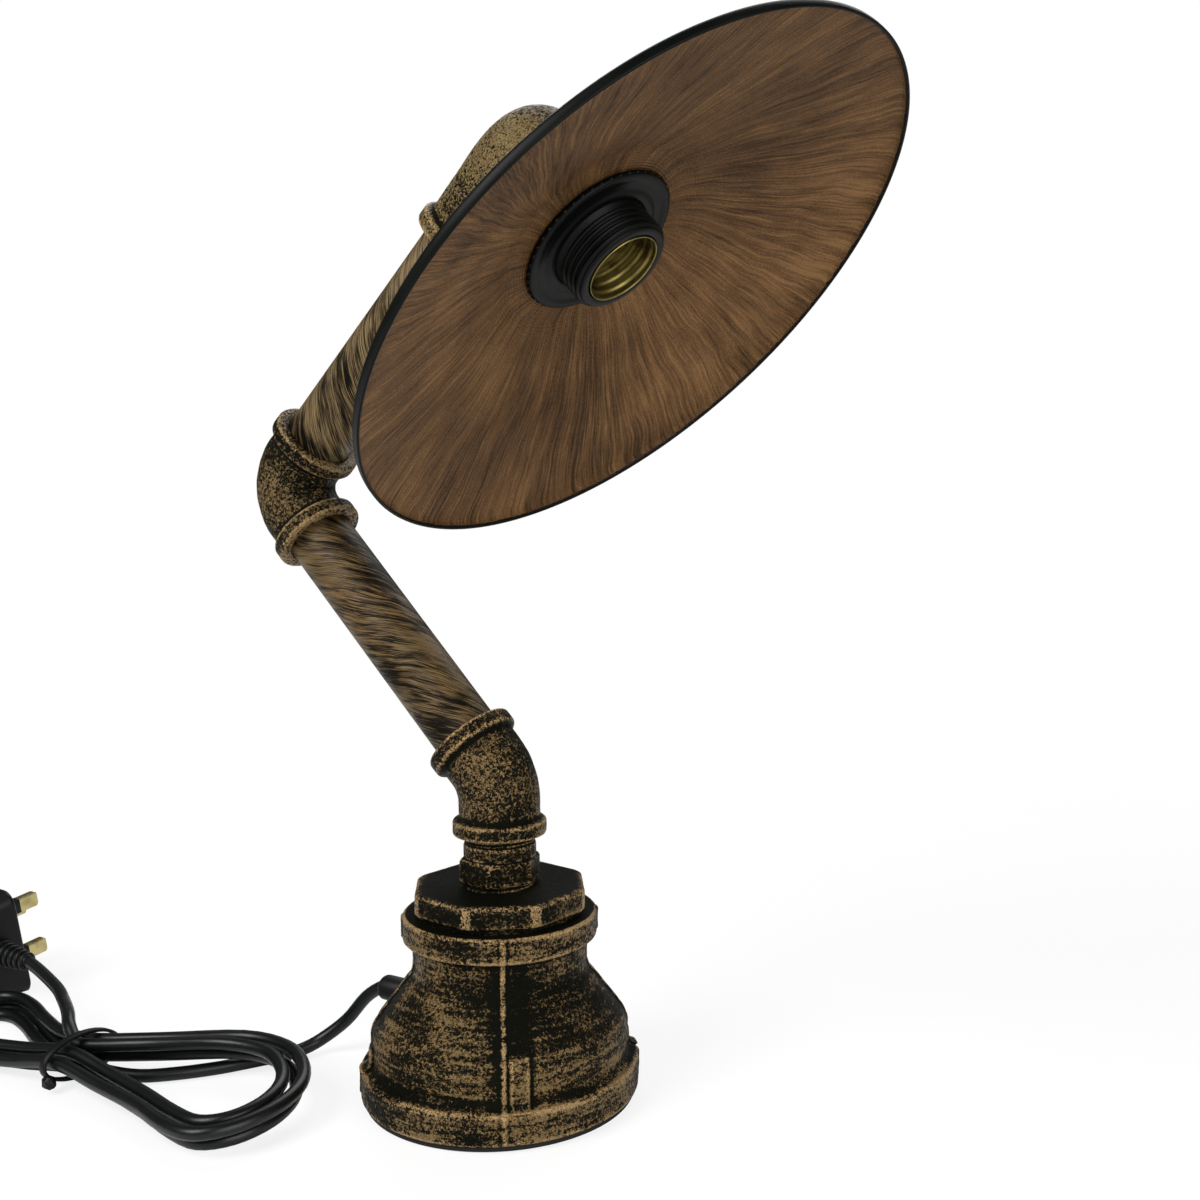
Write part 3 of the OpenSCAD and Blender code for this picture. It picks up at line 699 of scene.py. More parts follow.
def frame_on(axis: Vector) -> tuple[Vector, Vector]:
    """Two directions square to an axis, the first in the lamp's plane."""
    side = Vector((0, 1, 0))
    return side.cross(axis).normalized(), side


def frame_matrix(centre: Vector, axis: Vector) -> Matrix:
    """Place of a piece whose Z runs along an axis from a centre, in mm."""
    across, side = frame_on(axis)
    turn = Matrix((across, side, axis)).transposed().to_4x4()
    return Matrix.Translation(centre) @ turn


def skin(rows: int, sides: int, closed: bool) -> list[tuple[int, ...]]:
    """Faces between rows of points, with capped ends if it isn't closed.

    Args:
        rows: Number of rows.
        sides: Points in a row.
        closed: Whether the last row joins the first.

    Returns:
        The faces.
    """
    faces = []
    for j in range(rows if closed else rows - 1):
        here, there = j * sides, (j + 1) % rows * sides
        for k in range(sides):
            after = (k + 1) % sides
            faces.append((here + k, here + after, there + after, there + k))
    if not closed:
        faces.append(tuple(range(sides - 1, -1, -1)))
        faces.append(tuple((rows - 1) * sides + k for k in range(sides)))
    return faces


def revolve(line: Profile, sides: int, centre: Sequence[float] = (0, 0, 0), axis: Vector = UP,
            shape: Callable[[float, float, float], float] | None = None,
            closed: bool = False) -> tuple[list, list]:
    """Turns a profile about an axis.

    Args:
        line: Radius and height pairs in mm, from the bottom up.
        sides: Number of steps round.
        centre: Where height 0 lies.
        axis: Direction of height.
        shape: Gives the radius from radius, height and angle, or None.
        closed: Whether the profile's last point joins its first.

    Returns:
        Points and faces.
    """
    across, side = frame_on(axis)
    origin = Vector(centre)
    points = []
    for r, h in line:
        for k in range(sides):
            a = 2 * math.pi * k / sides
            q = shape(r, h, a) if shape else r
            points.append(origin + axis * h + across * (q * math.cos(a)) + side * (q * math.sin(a)))
    return points, skin(len(line), sides, closed)


def rings_to_mesh(rings: Sequence[Sequence[Vector]], closed: bool = False) -> tuple[list, list]:
    """Joins rings of equal count into a skin.

    Args:
        rings: The rings, in order.
        closed: Whether the last joins the first; else both are capped.

    Returns:
        Points and faces.
    """
    return [p for ring in rings for p in ring], skin(len(rings), len(rings[0]), closed)


def eased_block(size: Point, bevel: float, segments: int) -> tuple[list, list]:
    """A block about the origin with rounded edges.

    Args:
        size: Its three sides in mm.
        bevel: Width of the rounding.
        segments: Steps in it.

    Returns:
        Points and faces.
    """
    block = bmesh.new()
    bmesh.ops.create_cube(block, size=1.0)
    bmesh.ops.scale(block, verts=block.verts, vec=size)
    bmesh.ops.bevel(block, geom=block.edges[:], offset=bevel, segments=segments, affect="EDGES")
    block.verts.index_update()
    points = [v.co.copy() for v in block.verts]
    faces = [tuple(v.index for v in f.verts) for f in block.faces]
    block.free()
    return points, faces


def spline(points: Sequence[Sequence[float]], steps: int) -> list[Vector]:
    """A smooth curve through points.

    Args:
        points: The points it passes.
        steps: Steps between two of them.

    Returns:
        The curve's points.
    """
    p = [Vector(q) for q in points]
    out = []
    for i in range(len(p) - 1):
        a, b, c, d = p[max(i - 1, 0)], p[i], p[i + 1], p[min(i + 2, len(p) - 1)]
        for j in range(steps):
            t = j / steps
            out.append(0.5 * (2 * b + (c - a) * t + (2 * a - 5 * b + 4 * c - d) * t * t
                              + (3 * b - a - 3 * c + d) * t ** 3))
    return out + [p[-1]]


@dataclass(frozen=True)
class Repeat:
    """Copies of one small form in a row or a circle, by Geometry Nodes.

    Each copy is turned and raised by its number, stands out by the radius
    and is drawn in by its number.
    """

    count: int
    turn_deg: float = 0.0
    radius_mm: float = 0.0
    rise_mm: float = 0.0
    shrink: float = 0.0

    def tree(self) -> Tree:
        """The node tree, built once, with named inputs for its sizes.

        Returns:
            The tree.
        """
        made = bpy.data.node_groups.get("repeat")
        if made:
            return made
        made = bpy.data.node_groups.new("repeat", "GeometryNodeTree")
        made.interface.new_socket("Geometry", in_out="INPUT", socket_type="NodeSocketGeometry")
        for name, kind in (("Count", "Int"), ("Turn", "Float"), ("Radius", "Float"), ("Rise", "Float"),
                           ("Shrink", "Float"), ("Material", "Material")):
            made.interface.new_socket(name, in_out="INPUT", socket_type="NodeSocket" + kind)
        made.interface.new_socket("Geometry", in_out="OUTPUT", socket_type="NodeSocketGeometry")
        given = add(made, "NodeGroupInput").outputs
        number = add(made, "GeometryNodeInputIndex").outputs[0]
        angle = times(made, number, given["Turn"])
        place = add(made, "ShaderNodeCombineXYZ", {
            0: times(made, math_op(made, "COSINE", angle), given["Radius"]),
            1: times(made, math_op(made, "SINE", angle), given["Radius"]),
            2: times(made, number, given["Rise"])}).outputs[0]
        size = math_op(made, "SUBTRACT", 1.0, times(made, number, given["Shrink"]))
        spots = add(made, "GeometryNodePoints", {"Count": given["Count"], "Position": place}).outputs[0]
        about_z = add(made, "ShaderNodeCombineXYZ", {2: angle}).outputs[0]
        turned = add(made, "FunctionNodeEulerToRotation", {0: about_z}).outputs[0]
        scaled = add(made, "ShaderNodeCombineXYZ", {0: size, 1: size, 2: 1.0}).outputs[0]
        copies = add(made, "GeometryNodeInstanceOnPoints", {
            "Points": spots, "Instance": given["Geometry"], "Rotation": turned, "Scale": scaled}).outputs[0]
        real = add(made, "GeometryNodeRealizeInstances", {0: copies}).outputs[0]
        dressed = add(made, "GeometryNodeSetMaterial",
                      {"Geometry": real, "Material": given["Material"]}).outputs[0]
        add(made, "NodeGroupOutput", {0: dressed})
        return made

    def make(self, name: str, form: tuple[Iterable, Sequence], place: Matrix, body: str, finish: Finish,
             slot: str) -> bpy.types.Object:
        """Makes the copies of a form that is given about the origin.

        Args:
            name: The piece's name.
            form: The form's points in mm and its faces.
            place: Where the row or circle stands, in mm.
            body: The CAD body it rides on.
            finish: Its finish.
            slot: The record's material slot; not used.

        Returns:
            The new object.
        """
        mesh = bpy.data.meshes.new(name)
        mesh.from_pydata([tuple(c * MM for c in p) for p in form[0]], [], form[1])
        mesh.shade_smooth()
        piece = shown(name, mesh)
        step = piece.modifiers.new("repeat", "NODES")
        step.node_group = self.tree()
        values = {"Count": self.count, "Turn": math.radians(self.turn_deg), "Radius": self.radius_mm * MM,
                  "Rise": self.rise_mm * MM, "Shrink": self.shrink, "Material": finish.make()}
        for socket in step.node_group.interface.items_tree:
            if socket.item_type == "SOCKET" and socket.in_out == "INPUT" and socket.name in values:
                step[socket.identifier] = values[socket.name]
        depsgraph = bpy.context.evaluated_depsgraph_get()
        baked = bpy.data.meshes.new_from_object(piece.evaluated_get(depsgraph))
        piece.modifiers.remove(step)
        piece.data = baked
        moved = place.copy()
        moved.translation = moved.translation * MM
        baked.transform(moved)
        face_outward(baked)
        settle(piece, body, ())
        return piece


# ---------------------------------------------------------------- the cord


@dataclass
class MainsCord:
    """The mains cord: out of the foot, into a hank, and on to the plug."""

    diameter: float = 5.0
    tie_at: tuple[float, float] = (-143.0, -72.0)
    exit: Point = (-54.2, 0.0, 29.0)
    route_in: tuple = ((-54.2, 0, 29), (-57.6, 0, 28.8), (-66, -0.5, 23), (-74, -3, 13), (-82, -9, 5.5),
                       (-86, -16, 2.9), (-89, -23, 2.6), (-93, -30, 2.6))
    hank_lead: tuple = ((-96.5, -36, 2.6), (-102, -44.5, 2.6), (-111, -55, 2.6), (-121, -64, 2.9),
                        (-132, -70, 4.6), (-143, -70.9, 6.1))
    hank_out: tuple = ((-149, -70, 13.8), (-155, -67.7, 17), (-161, -63.5, 18.2), (-167, -59.5, 18))
    route_out: tuple = ((-171, -57, 17.7), (-180, -51.5, 16.8), (-191, -46, 17.6))
    turns: tuple[float, float] = (0.2917, 3.25)
    middle_turn: float = 1.75
    # length, its growth with each turn and half width of the loops at either end,
    # the far one and the one near the foot
    far_loop: tuple[float, float, float] = (79.0, 6.15, 29.5)
    near_loop: tuple[float, float, float] = (90.0, 6.5, 40.0)
    far_wider: float = 7.9
    near_wider: float = 7.0
    waist: float = 6.1
    strand: float = 5.9
    near_from: float = 44.0
    cross_at: float = 25.0
    tie_reach: tuple[float, float] = (15.7, 8.0)
    bush_at: Point = (-46.8, 0.0, 29.0)

    def loop_point(self, u: float) -> Vector:
        """A point of the hank's loops.

        Args:
            u: Turns from the start of the first loop.

        Returns:
            The point in mm.
        """
        t = 2 * math.pi * u
        s = u if u <= self.middle_turn else 2 * self.middle_turn - u
        c, h = math.cos(t), math.sin(t)
        far_x, far_step, far_w = self.far_loop
        x = (far_x + far_step * s) * c
        wide = far_w + self.far_wider * s
        if c > 0:
            # the end near the foot is longer and rounder, and turned toward the front
            near_x, near_step, near_w = self.near_loop
            k = ease(x / self.near_from)
            x = x * (1 - k) + (near_x + near_step * s) * c * k
            lobe = (near_w + self.near_wider * s) * h * c ** (1.7 if h < 0 else 1.0)
            y = wide * 1.3 * h * c * c * (1 - k) + lobe * k
            y += self.waist * s * h + 0.03 * x + 0.00115 * x * x + 2 * ease(x / 60) - 14 * ease((x - 50) / 52)
        else:
            y = wide * h * c * c + self.waist * s * h + 0.03 * x + 0.00195 * x * x
        # the later loops lie on the first, and all of them cross over the lead
        low = 2.6 + self.strand * ease((u - 1.45) / 0.5)
        degree = (360 * u + 180) % 360 - 180
        turned = min(90.0, abs(degree - self.cross_at) * 1.35)
        over = self.strand * min(1.0, 2.2 * max(0.0, math.cos(math.radians(turned))))
        if c > 0:
            over = min(over, self.strand * ease((degree + 45) / 90))
        held = 3.6 * math.exp(-x * x / 400)
        return Vector((self.tie_at[0] + x, self.tie_at[1] + y, low + over + held))

    def route(self, plug_exit: Vector) -> list[Vector]:
        """The whole route from the foot to the plug's relief.

        Args:
            plug_exit: Where the cord enters the relief, in mm.

        Returns:
            The route's points in mm.
        """
        first, last = self.turns
        steps = 71
        loops = [self.loop_point(first + (last - first) * i / steps) for i in range(steps + 1)]
        ends = [plug_exit + Vector((10, -1.6, -2)), plug_exit]
        line = spline([*self.route_in, *self.hank_lead, *loops, *self.hank_out, *self.route_out, *ends], 4)
        return [Vector((p.x, p.y, max(p.z, self.diameter / 2 + 0.03))) for p in line]

    def build(self, plug: "Plug") -> None:
        """Args:
            plug: The plug at its far end.
        """
        path = self.route(plug.cord_exit())
        curve = bpy.data.curves.new("mains_cord", "CURVE")
        curve.dimensions = "3D"
        curve.bevel_depth = self.diameter / 2 * MM
        curve.bevel_resolution = 7
        curve.use_fill_caps = True
        line = curve.splines.new("POLY")
        line.points.add(len(path) - 1)
        for spot, p in zip(line.points, path):
            spot.co = (p.x * MM, p.y * MM, p.z * MM, 1.0)
        line.use_smooth = True
        curve.materials.append(SHEATH.make())
        piece = shown("mains_cord", curve)
        settle(piece, "base", ("cord", "cord_hank", "cord_tail"))
        tie = self.tie()
        tuple(c * MM for c in self.exit)
        [tie] + plug.build()
        self.bush()

    def tie(self) -> bpy.types.Object:
        """The ribbed nylon tie round the waist of the hank, with its head.

        Returns:
            The piece.
        """
        band = ((-1.5, -0.5), (-1.2, -0.65), (1.2, -0.65), (1.5, -0.5), (1.5, 0.4), (1.1, 0.65), (-1.1, 0.65),
                (-1.5, 0.4))
        wide, high = self.tie_reach
        rings = []
        steps = 96
        for i in range(steps):
            a = 2 * math.pi * i / steps
            centre = Vector((self.tie_at[0] + 0.9 * math.sin(a), self.tie_at[1] + wide * math.sin(a),
                             9.6 + high * math.cos(a)))
            out = Vector((0, math.sin(a), math.cos(a)))
            rings.append([centre + Vector((w, 0, 0)) + out * t for w, t in band])
        points, faces = rings_to_mesh(rings, closed=True)
        start = len(points)
        head, head_faces = eased_block((4.8, 3.6, 4.4), 0.7, 3)
        lift = Vector((self.tie_at[0] + 0.4, self.tie_at[1] - 14.2, 4.0))
        points += [p + lift for p in head]
        faces += [tuple(start + i for i in f) for f in head_faces]
        return put("hank_tie_band", points, faces, "base", NYLON, ("hank_tie",))

    def bush(self) -> None:
        """The outlet bush in the side of the bell."""
        line = ([(0.02, -12.2), (3.92, -12.2), (3.92, -5.6), (4.6, -5.6), (4.8, -5.3)]
                + arc(2.6, 8.3, 2.2, 0, 78, 8) + [(2.75, 10.5), (2.65, 7.6), (0.02, 7.6)])
        points, faces = revolve(line, 48, self.bush_at, Vector((-1, 0, 0)))
        put("outlet_bush", points, faces, "base", NYLON, ("cord_gland",))


# ---------------------------------------------------------------- the plug


@dataclass(frozen=True)
class PinPlace:
    """One flat pin: its name, its CAD node, its place and its sizes."""

    name: str
    node: str
    x: float
    y: float
    wide: float
    high: float
    long: float
    sleeved: bool


@dataclass
class Plug:
    """The moulded plug with three flat pins, lying on its drafted side."""

    width: float = 48.0
    length: float = 52.0
    thick: float = 20.0
    draft: float = 3.2
    corner: float = 6.0
    at: tuple[float, float] = (-262.0, -27.0)
    turn: float = -4.0
    pitch: float = 22.2
    relief: float = 20.0
    cord_depth: float = 10.0

    def matrix(self) -> Matrix:
        """The plug's place: x across the flat pins, y to earth, z out of its face.

        Returns:
            The place in mm.
        """
        tilt = math.atan(self.draft / self.thick)
        lift = self.width / 2 * math.cos(tilt) + 0.02
        quarter = math.pi / 2
        return (Matrix.Translation((self.at[0], self.at[1], lift))
                @ Matrix.Rotation(math.radians(self.turn), 4, "Z") @ Matrix.Rotation(tilt, 4, "X")
                @ Matrix.Rotation(quarter, 4, "Z") @ Matrix.Rotation(quarter, 4, "Y"))

    def cord_exit(self) -> Vector:
        """Where the cord meets the end of the tapered relief."""
        return self.matrix() @ Vector((0, -self.length / 2 - self.relief, -self.cord_depth))

    def outline(self, w: float, l: float, r: float, z: float, n: int = 10) -> list[Vector]:
        """A rounded rectangle.

        Args:
            w: Its width.
            l: Its length.
            r: Radius of its corners.
            z: Its height.
            n: Steps in a corner.

        Returns:
            Its points.
        """
        out = []
        for cx, cy, a0 in ((1, 1, 0), (-1, 1, 90), (-1, -1, 180), (1, -1, 270)):
            for k in range(n + 1):
                a = math.radians(a0 + 90 * k / n)
                x, y = cx * (w / 2 - r) + r * math.cos(a), cy * (l / 2 - r) + r * math.sin(a)
                out.append(Vector((x, y, z)))
        return out

    def drawn_in(self, e: float, r: float, z: float) -> list[Vector]:
        """The body's outline drawn in by e on every side."""
        return self.outline(self.width - 2 * e, self.length - 2 * e, r, z)

    def shell(self, place: Matrix) -> bpy.types.Object:
        """The body: a dished face, drafted sides and a rounded back.

        Args:
            place: The plug's place.

        Returns:
            The piece.
        """
        rings = [self.drawn_in(e, r, z) for e, r, z in (
            (6.0, 3, -0.35), (2.2, 5, -0.3), (0.5, self.corner, 0), (0.1, self.corner, -0.5),
            (0.27, self.corner, -1.6))]
        for k in range(1, 9):
            z = -1.6 - (self.thick - 4.6) * k / 8
            rings.append(self.drawn_in(self.draft * -z / self.thick, self.corner, z))
        for k in range(1, 6):
            a = math.radians(18 * k)
            z = -self.thick + 3 - 3 * math.sin(a)
            e = self.draft * -z / self.thick + 3 * (1 - math.cos(a))
            rings.append(self.drawn_in(e, self.corner - 0.3 * k, z))
        rings.append(self.drawn_in(self.draft + 8, 3, -self.thick))
        points, faces = rings_to_mesh([[place @ p for p in ring] for ring in rings])
        return put("plug_shell", points, faces, "base", PLUG_PVC, ("plug_body",))

    def build(self) -> list[bpy.types.Object]:
        """Builds the body, relief, pins and fuse cover.

        Returns:
            The pieces that go with the cord.
        """
        place = self.matrix()
        made = [self.shell(place)]
        line = [(5.2, 0.0), (5.1, 2.0), (2.9, self.relief + 2.0), (2.8, self.relief + 2.9),
                (2.55, self.relief + 2.98)]
        start = place @ Vector((0, -self.length / 2 + 3, -self.cord_depth))
        axis = (place.to_3x3() @ Vector((0, -1, 0))).normalized()
        points, faces = revolve(fine(line, 1.0), 40, start, axis)
        made.append(put("plug_relief", points, faces, "base", PLUG_PVC))
        rib = [(3.0, -1.15), (5.2, -1.1), (5.7, -0.7), (5.75, 0.3), (5.5, 0.8), (5.1, 1.0), (3.0, 1.05)]
        made.append(Repeat(6, rise_mm=3.3, shrink=0.066).make(
            "plug_relief_ribs", revolve(rib, 40, closed=True), frame_matrix(start + axis * 4.7, axis), "base",
            PLUG_PVC, "plug_pvc"))
        half = self.pitch / 2
        for pin in (PinPlace("pin_live", "live_pin", -half, -half, 6.35, 4.0, 17.7, True),
                    PinPlace("pin_neutral", "neutral_pin", half, -half, 6.35, 4.0, 17.7, True),
                    PinPlace("pin_earth", "earth_pin", 0.0, half, 4.0, 8.0, 22.7, False)):
            made += self.pin(pin, place)
        return made + [dress("fuse_cover", PLUG_PVC)]

    def pin(self, pin: PinPlace, place: Matrix) -> list[bpy.types.Object]:
        """One flat pin with its nose drawn in, and the black sleeve on its root.

        Args:
            pin: The pin.
            place: The plug's place.

        Returns:
            The pieces.
        """
        at = Vector((pin.x, pin.y, 0))

        def ring(grow: float, r: float, z: float) -> list[Vector]:
            """The pin's outline, larger by grow, at height z."""
            return [place @ (p + at) for p in self.outline(pin.wide + grow, pin.high + grow, r, z, 3)]

        nose = ((-7.9, 0.0), (0.0, 0.0), (pin.long - 1.6, 0.0), (pin.long - 1.2, 0.06),
                (pin.long - 0.5, 0.45), (pin.long - 0.1, 0.8), (pin.long, 1.05))
        points, faces = rings_to_mesh([ring(-2 * e, 0.5, z) for z, e in nose])
        made = [put(pin.name, points, faces, "base", BRASS_PIN, (pin.node,), smooth=False)]
        if pin.sleeved:
            sleeve = ((-0.6, 0), (8.7, 0), (8.9, 0.08))
            points, faces = rings_to_mesh([ring(0.14 - e, 0.55, z) for z, e in sleeve])
            made.append(put(pin.name + "_sleeve", points, faces, "base", PLUG_PVC))
        return made


# ---------------------------------------------------------------- the foot


@dataclass
class Foot:
    """The bell reducing socket, its pad, the octagonal bush and the nipple."""

    band_r: float = 51.0
    bell_r: float = 46.8
    neck_r: float = 31.3
    top_r: float = 35.5
    top_z: float = 69.5
    bush_af: float = 61.0
    hex_af: float = 26.6
    nipple_r: float = 12.8
    pitch: float = 1.81
    seam_turn: float = 6.4
    head_turn: float = 7.4
    marks: tuple[int, ...] = (45, 135, 225, 315)
    front_rib: int = 315
    # top of the plain ribs and of the front one, and of the gold on them
    rib_tops: tuple[float, float] = (22.6, 32.5)
    gold_tops: tuple[float, float] = (22.0, 32.0)
    finish: CastIronAntiqued = CastIronAntiqued("cast_iron_foot", cover=0.49, streak=0.6)
    bush_finish: CastIronAntiqued = CastIronAntiqued("cast_iron_bush", cover=0.44, streak=0.1, gold="6B5838")
    nipple_finish: CastIronAntiqued = CastIronAntiqued("cast_iron_nipple", cover=0.43, streak=0.15)

    def profile(self) -> Profile:
        """The outside of the casting, from its edge on the pad up.

        Returns:
            Radius and height pairs.
        """
        band, bell, neck, top = self.band_r, self.bell_r, self.neck_r, self.top_r
        foot = [(44.0, 2.0)] + arc(band - 1.5, 3.5, 1.5, -90, 0, 6) + arc(band - 2.0, 12.0, 2.0, 0, 80, 6)
        groove = [(band - 2.0, 14.1), (47.9, 14.7), (47.2, 15.6), (bell, 16.8)]
        shoulder = arc(bell - 12.0, 24.0, 12.0, 0, 42, 14) + [(34.9, 44.0), (33.4, 45.6), (32.4, 46.9)]
        throat = [(31.8, 48.6), (31.4, 50.0), (neck, 58.6), (31.6, 59.3), (32.3, 59.8)]
        collar = arc(top - 1.3, 61.3, 1.3, -80, 0, 5) + arc(top - 1.3, 68.2, 1.3, 0, 90, 6)
        return foot + groove + shoulder + throat + collar + [(29.5, self.top_z), (29.4, 61.0)]

    def beside(self, degree: float, r: float, turn: float = 0.0) -> float:
        """Way round the bell to the nearest of the four marks.

        Args:
            degree: The place's angle.
            r: Its radius.
            turn: How far the marks are turned back.

        Returns:
            The distance in mm.
        """
        return min(abs((degree - q + turn + 180) % 360 - 180) for q in self.marks) * r * math.pi / 180

    def at_front(self, degree: float) -> bool:
        """Whether the rib nearest to an angle is the front one."""
        return abs((degree - self.front_rib + 180) % 360 - 180) < 20

    def relief(self, r: float, h: float, a: float) -> float:
        """Adds the mould seams, the four ribs and casting unevenness.

        Args:
            r: Radius of the plain profile.
            h: Height.
            a: Angle in radians.

        Returns:
            The radius with them.
        """
        if not (2.6 < h < 69.4 and r > 30.0):
            return r
        out = r
        degree = math.degrees(a)
        wide = math.exp(-(self.beside(degree, r, self.seam_turn) / 1.05) ** 4)
        # the seam wanders and is worn low in places
        out += (0.62 + 0.18 * noise.noise(Vector((h * 0.3, degree, 0)))) * wide
        end = self.rib_tops[self.at_front(degree)]
        if 13.4 < h < end:
            side = held_in((3.7 - self.beside(degree, r)) / 0.6)
            out += 1.35 * side * held_in((end - h) / 2.2) ** 0.5 * (1.0 - wide)
        x, y = r * math.cos(a), r * math.sin(a)
        out += 0.16 * noise.noise(Vector((x * 0.12, y * 0.12, h * 0.16)))
        return out + 0.11 * noise.noise(Vector((x * 0.55 + 9, y * 0.55, h * 0.7)))

    def worn(self, x: float, y: float, z: float) -> float:
        """Gold on the seams and ribs, none in the channels beside them, and painted shade on the casting's
        top face under the octagon.

        Args:
            x: The place in mm.
            y: The same.
            z: The same.

        Returns:
            What is added to the rim value there.
        """
        r, degree = math.hypot(x, y), math.degrees(math.atan2(y, x))
        # painted shade: the casting's top face inside the octagon's skirt is painted dark, standing in for
        # the shadow under the octagon
        if z > 69.2 and r < 34.3:
            return -0.9
        if not 13.6 < z < 59.0:
            return 0.0
        seam, off = self.beside(degree, r, self.seam_turn), self.beside(degree, r)
        channel = held_in((6.5 - min(seam, off)) / 3.0)
        if off < 3.6 and z < self.gold_tops[self.at_front(degree)]:
            channel = -0.3
        return 0.36 * math.exp(-(seam / 0.8) ** 2) - 0.34 * channel * (1.0 - math.exp(-(seam / 1.2) ** 4))

    def build(self) -> None:
        """Builds the four pieces."""
        points, faces = revolve(fine(self.profile(), 0.8), 540, shape=self.relief)
        put("bell_casting", points, faces, "base", self.finish, ("base_reducer",), rim=True,
            worn=self.worn)
        pad = arc(49.0, 0.6, 0.6, -90, 0, 4) + arc(49.1, 1.6, 0.4, 0, 90, 3)
        points, faces = revolve([(0.5, 0.0)] + pad + [(0.5, 2.0)], 128)
        put("rubber_foot_pad", points, faces, "base", RUBBER, ("base_pad",))
        self.bush()
        self.nipple()

    def off_corner(self, a: float, shift: float, step: float) -> float:
        """Angle from the middle of the nearest flat.

        Args:
            a: The place's angle.
            shift: Where the flats start.
            step: Angle of one flat.

        Returns:
            The angle, less than half a step either way.
        """
        return ((a + math.radians(self.head_turn) + shift) % step) - step / 2

    def bush(self) -> None:
        """The bush: octagonal head, dark thread under it."""
        half, step = self.bush_af / 2, math.pi / 4

        def eight(r: float, h: float, a: float) -> float:
            """Radius of the eight flats, rounded at the corners."""
            if r < half - 1.4:
                return r
            flat = (half - (half - min(r, half)) * 0.9) / math.cos(self.off_corner(a, step / 2, step))
            corner = r / half * (half / math.cos(step / 2) - 0.7)
            uneven = noise.noise(Vector((math.cos(a) * 16, math.sin(a) * 16, h * 0.6)))
            return min(flat, corner) + 0.12 * uneven

        def corners(x: float, y: float, z: float) -> float:
            """Gold rubbed on the corners and the upper edge, and painted shade on the flat top, which gets
            less gold.
            """
            # painted shade: the flat top of the octagon is given less gold, standing in for the dim light on
            # it
            if math.hypot(x, y) < half - 1.6 and z > 79.0:
                return -0.5
            off = abs(self.off_corner(math.atan2(y, x), step / 2, step))
            return 0.9 if off > math.radians(19.4) and 71.3 < z < 79.2 else 0.0

        line = [(12.9, 60.5), (29.0, 60.5)]
        for k in range(10):
            line += [(29.3, 61.2 + k), (28.75, 61.7 + k)]
        line += [(29.0, 71.0), (half - 2.2, 71.0), (half - 1.2, 71.15), (half - 0.35, 71.6), (half, 72.3),
                 (half, 78.3), (half - 0.35, 79.0), (half - 1.2, 79.4), (half - 2.4, 79.5), (14.2, 79.5),
                 (13.1, 79.0), (12.9, 78.6)]
        points, faces = revolve(fine(line, 0.9), 360, shape=eight)
        put("octagon_head", points, faces, "base", self.bush_finish, ("octagon_bush",), rim=True,
            worn=corners)

    def nipple(self) -> None:
        """The hexagon nipple: threads below and above its hexagon."""
        half, step = self.hex_af / 2, math.pi / 3
        big = half + 2.1

        def six(r: float, h: float, a: float) -> float:
            """Radius of the six flats between the two threads."""
            if not 80.9 < h < 90.1 or r < self.nipple_r + 0.1:
                if 79.0 < h < 81.0 or 95.4 < h < 109.0:
                    return r + 0.42 * abs(((h / self.pitch - a / (2 * math.pi)) % 1.0) * 2 - 1) - 0.38
                return r
            flat = (half - (big - min(r, big)) * 0.55) / math.cos(self.off_corner(a, 0.0, step))
            return min(flat, r / big * (half / math.cos(step / 2) - 0.35))

        line = [(9.0, 68.0), (12.4, 68.0), (12.75, 69.0), (12.75, 80.9), (12.95, 81.0), (big - 1.4, 81.02),
                (big - 0.5, 81.3), (big, 82.1), (big, 88.7), (big - 0.5, 89.5), (big - 1.4, 89.9),
                (13.2, 90.2), (13.25, 91.0), (13.25, 94.2), (13.0, 94.9), (12.6, 95.3), (12.78, 96.0),
                (12.78, 108.4), (12.2, 109.2), (9.0, 109.2)]
        points, faces = revolve(fine(line, 0.35), 180, shape=six)
        put("hexagon_nipple", points, faces, "base", self.nipple_finish, ("hex_nipple",), rim=True)


# ---------------------------------------------------------------- the arms


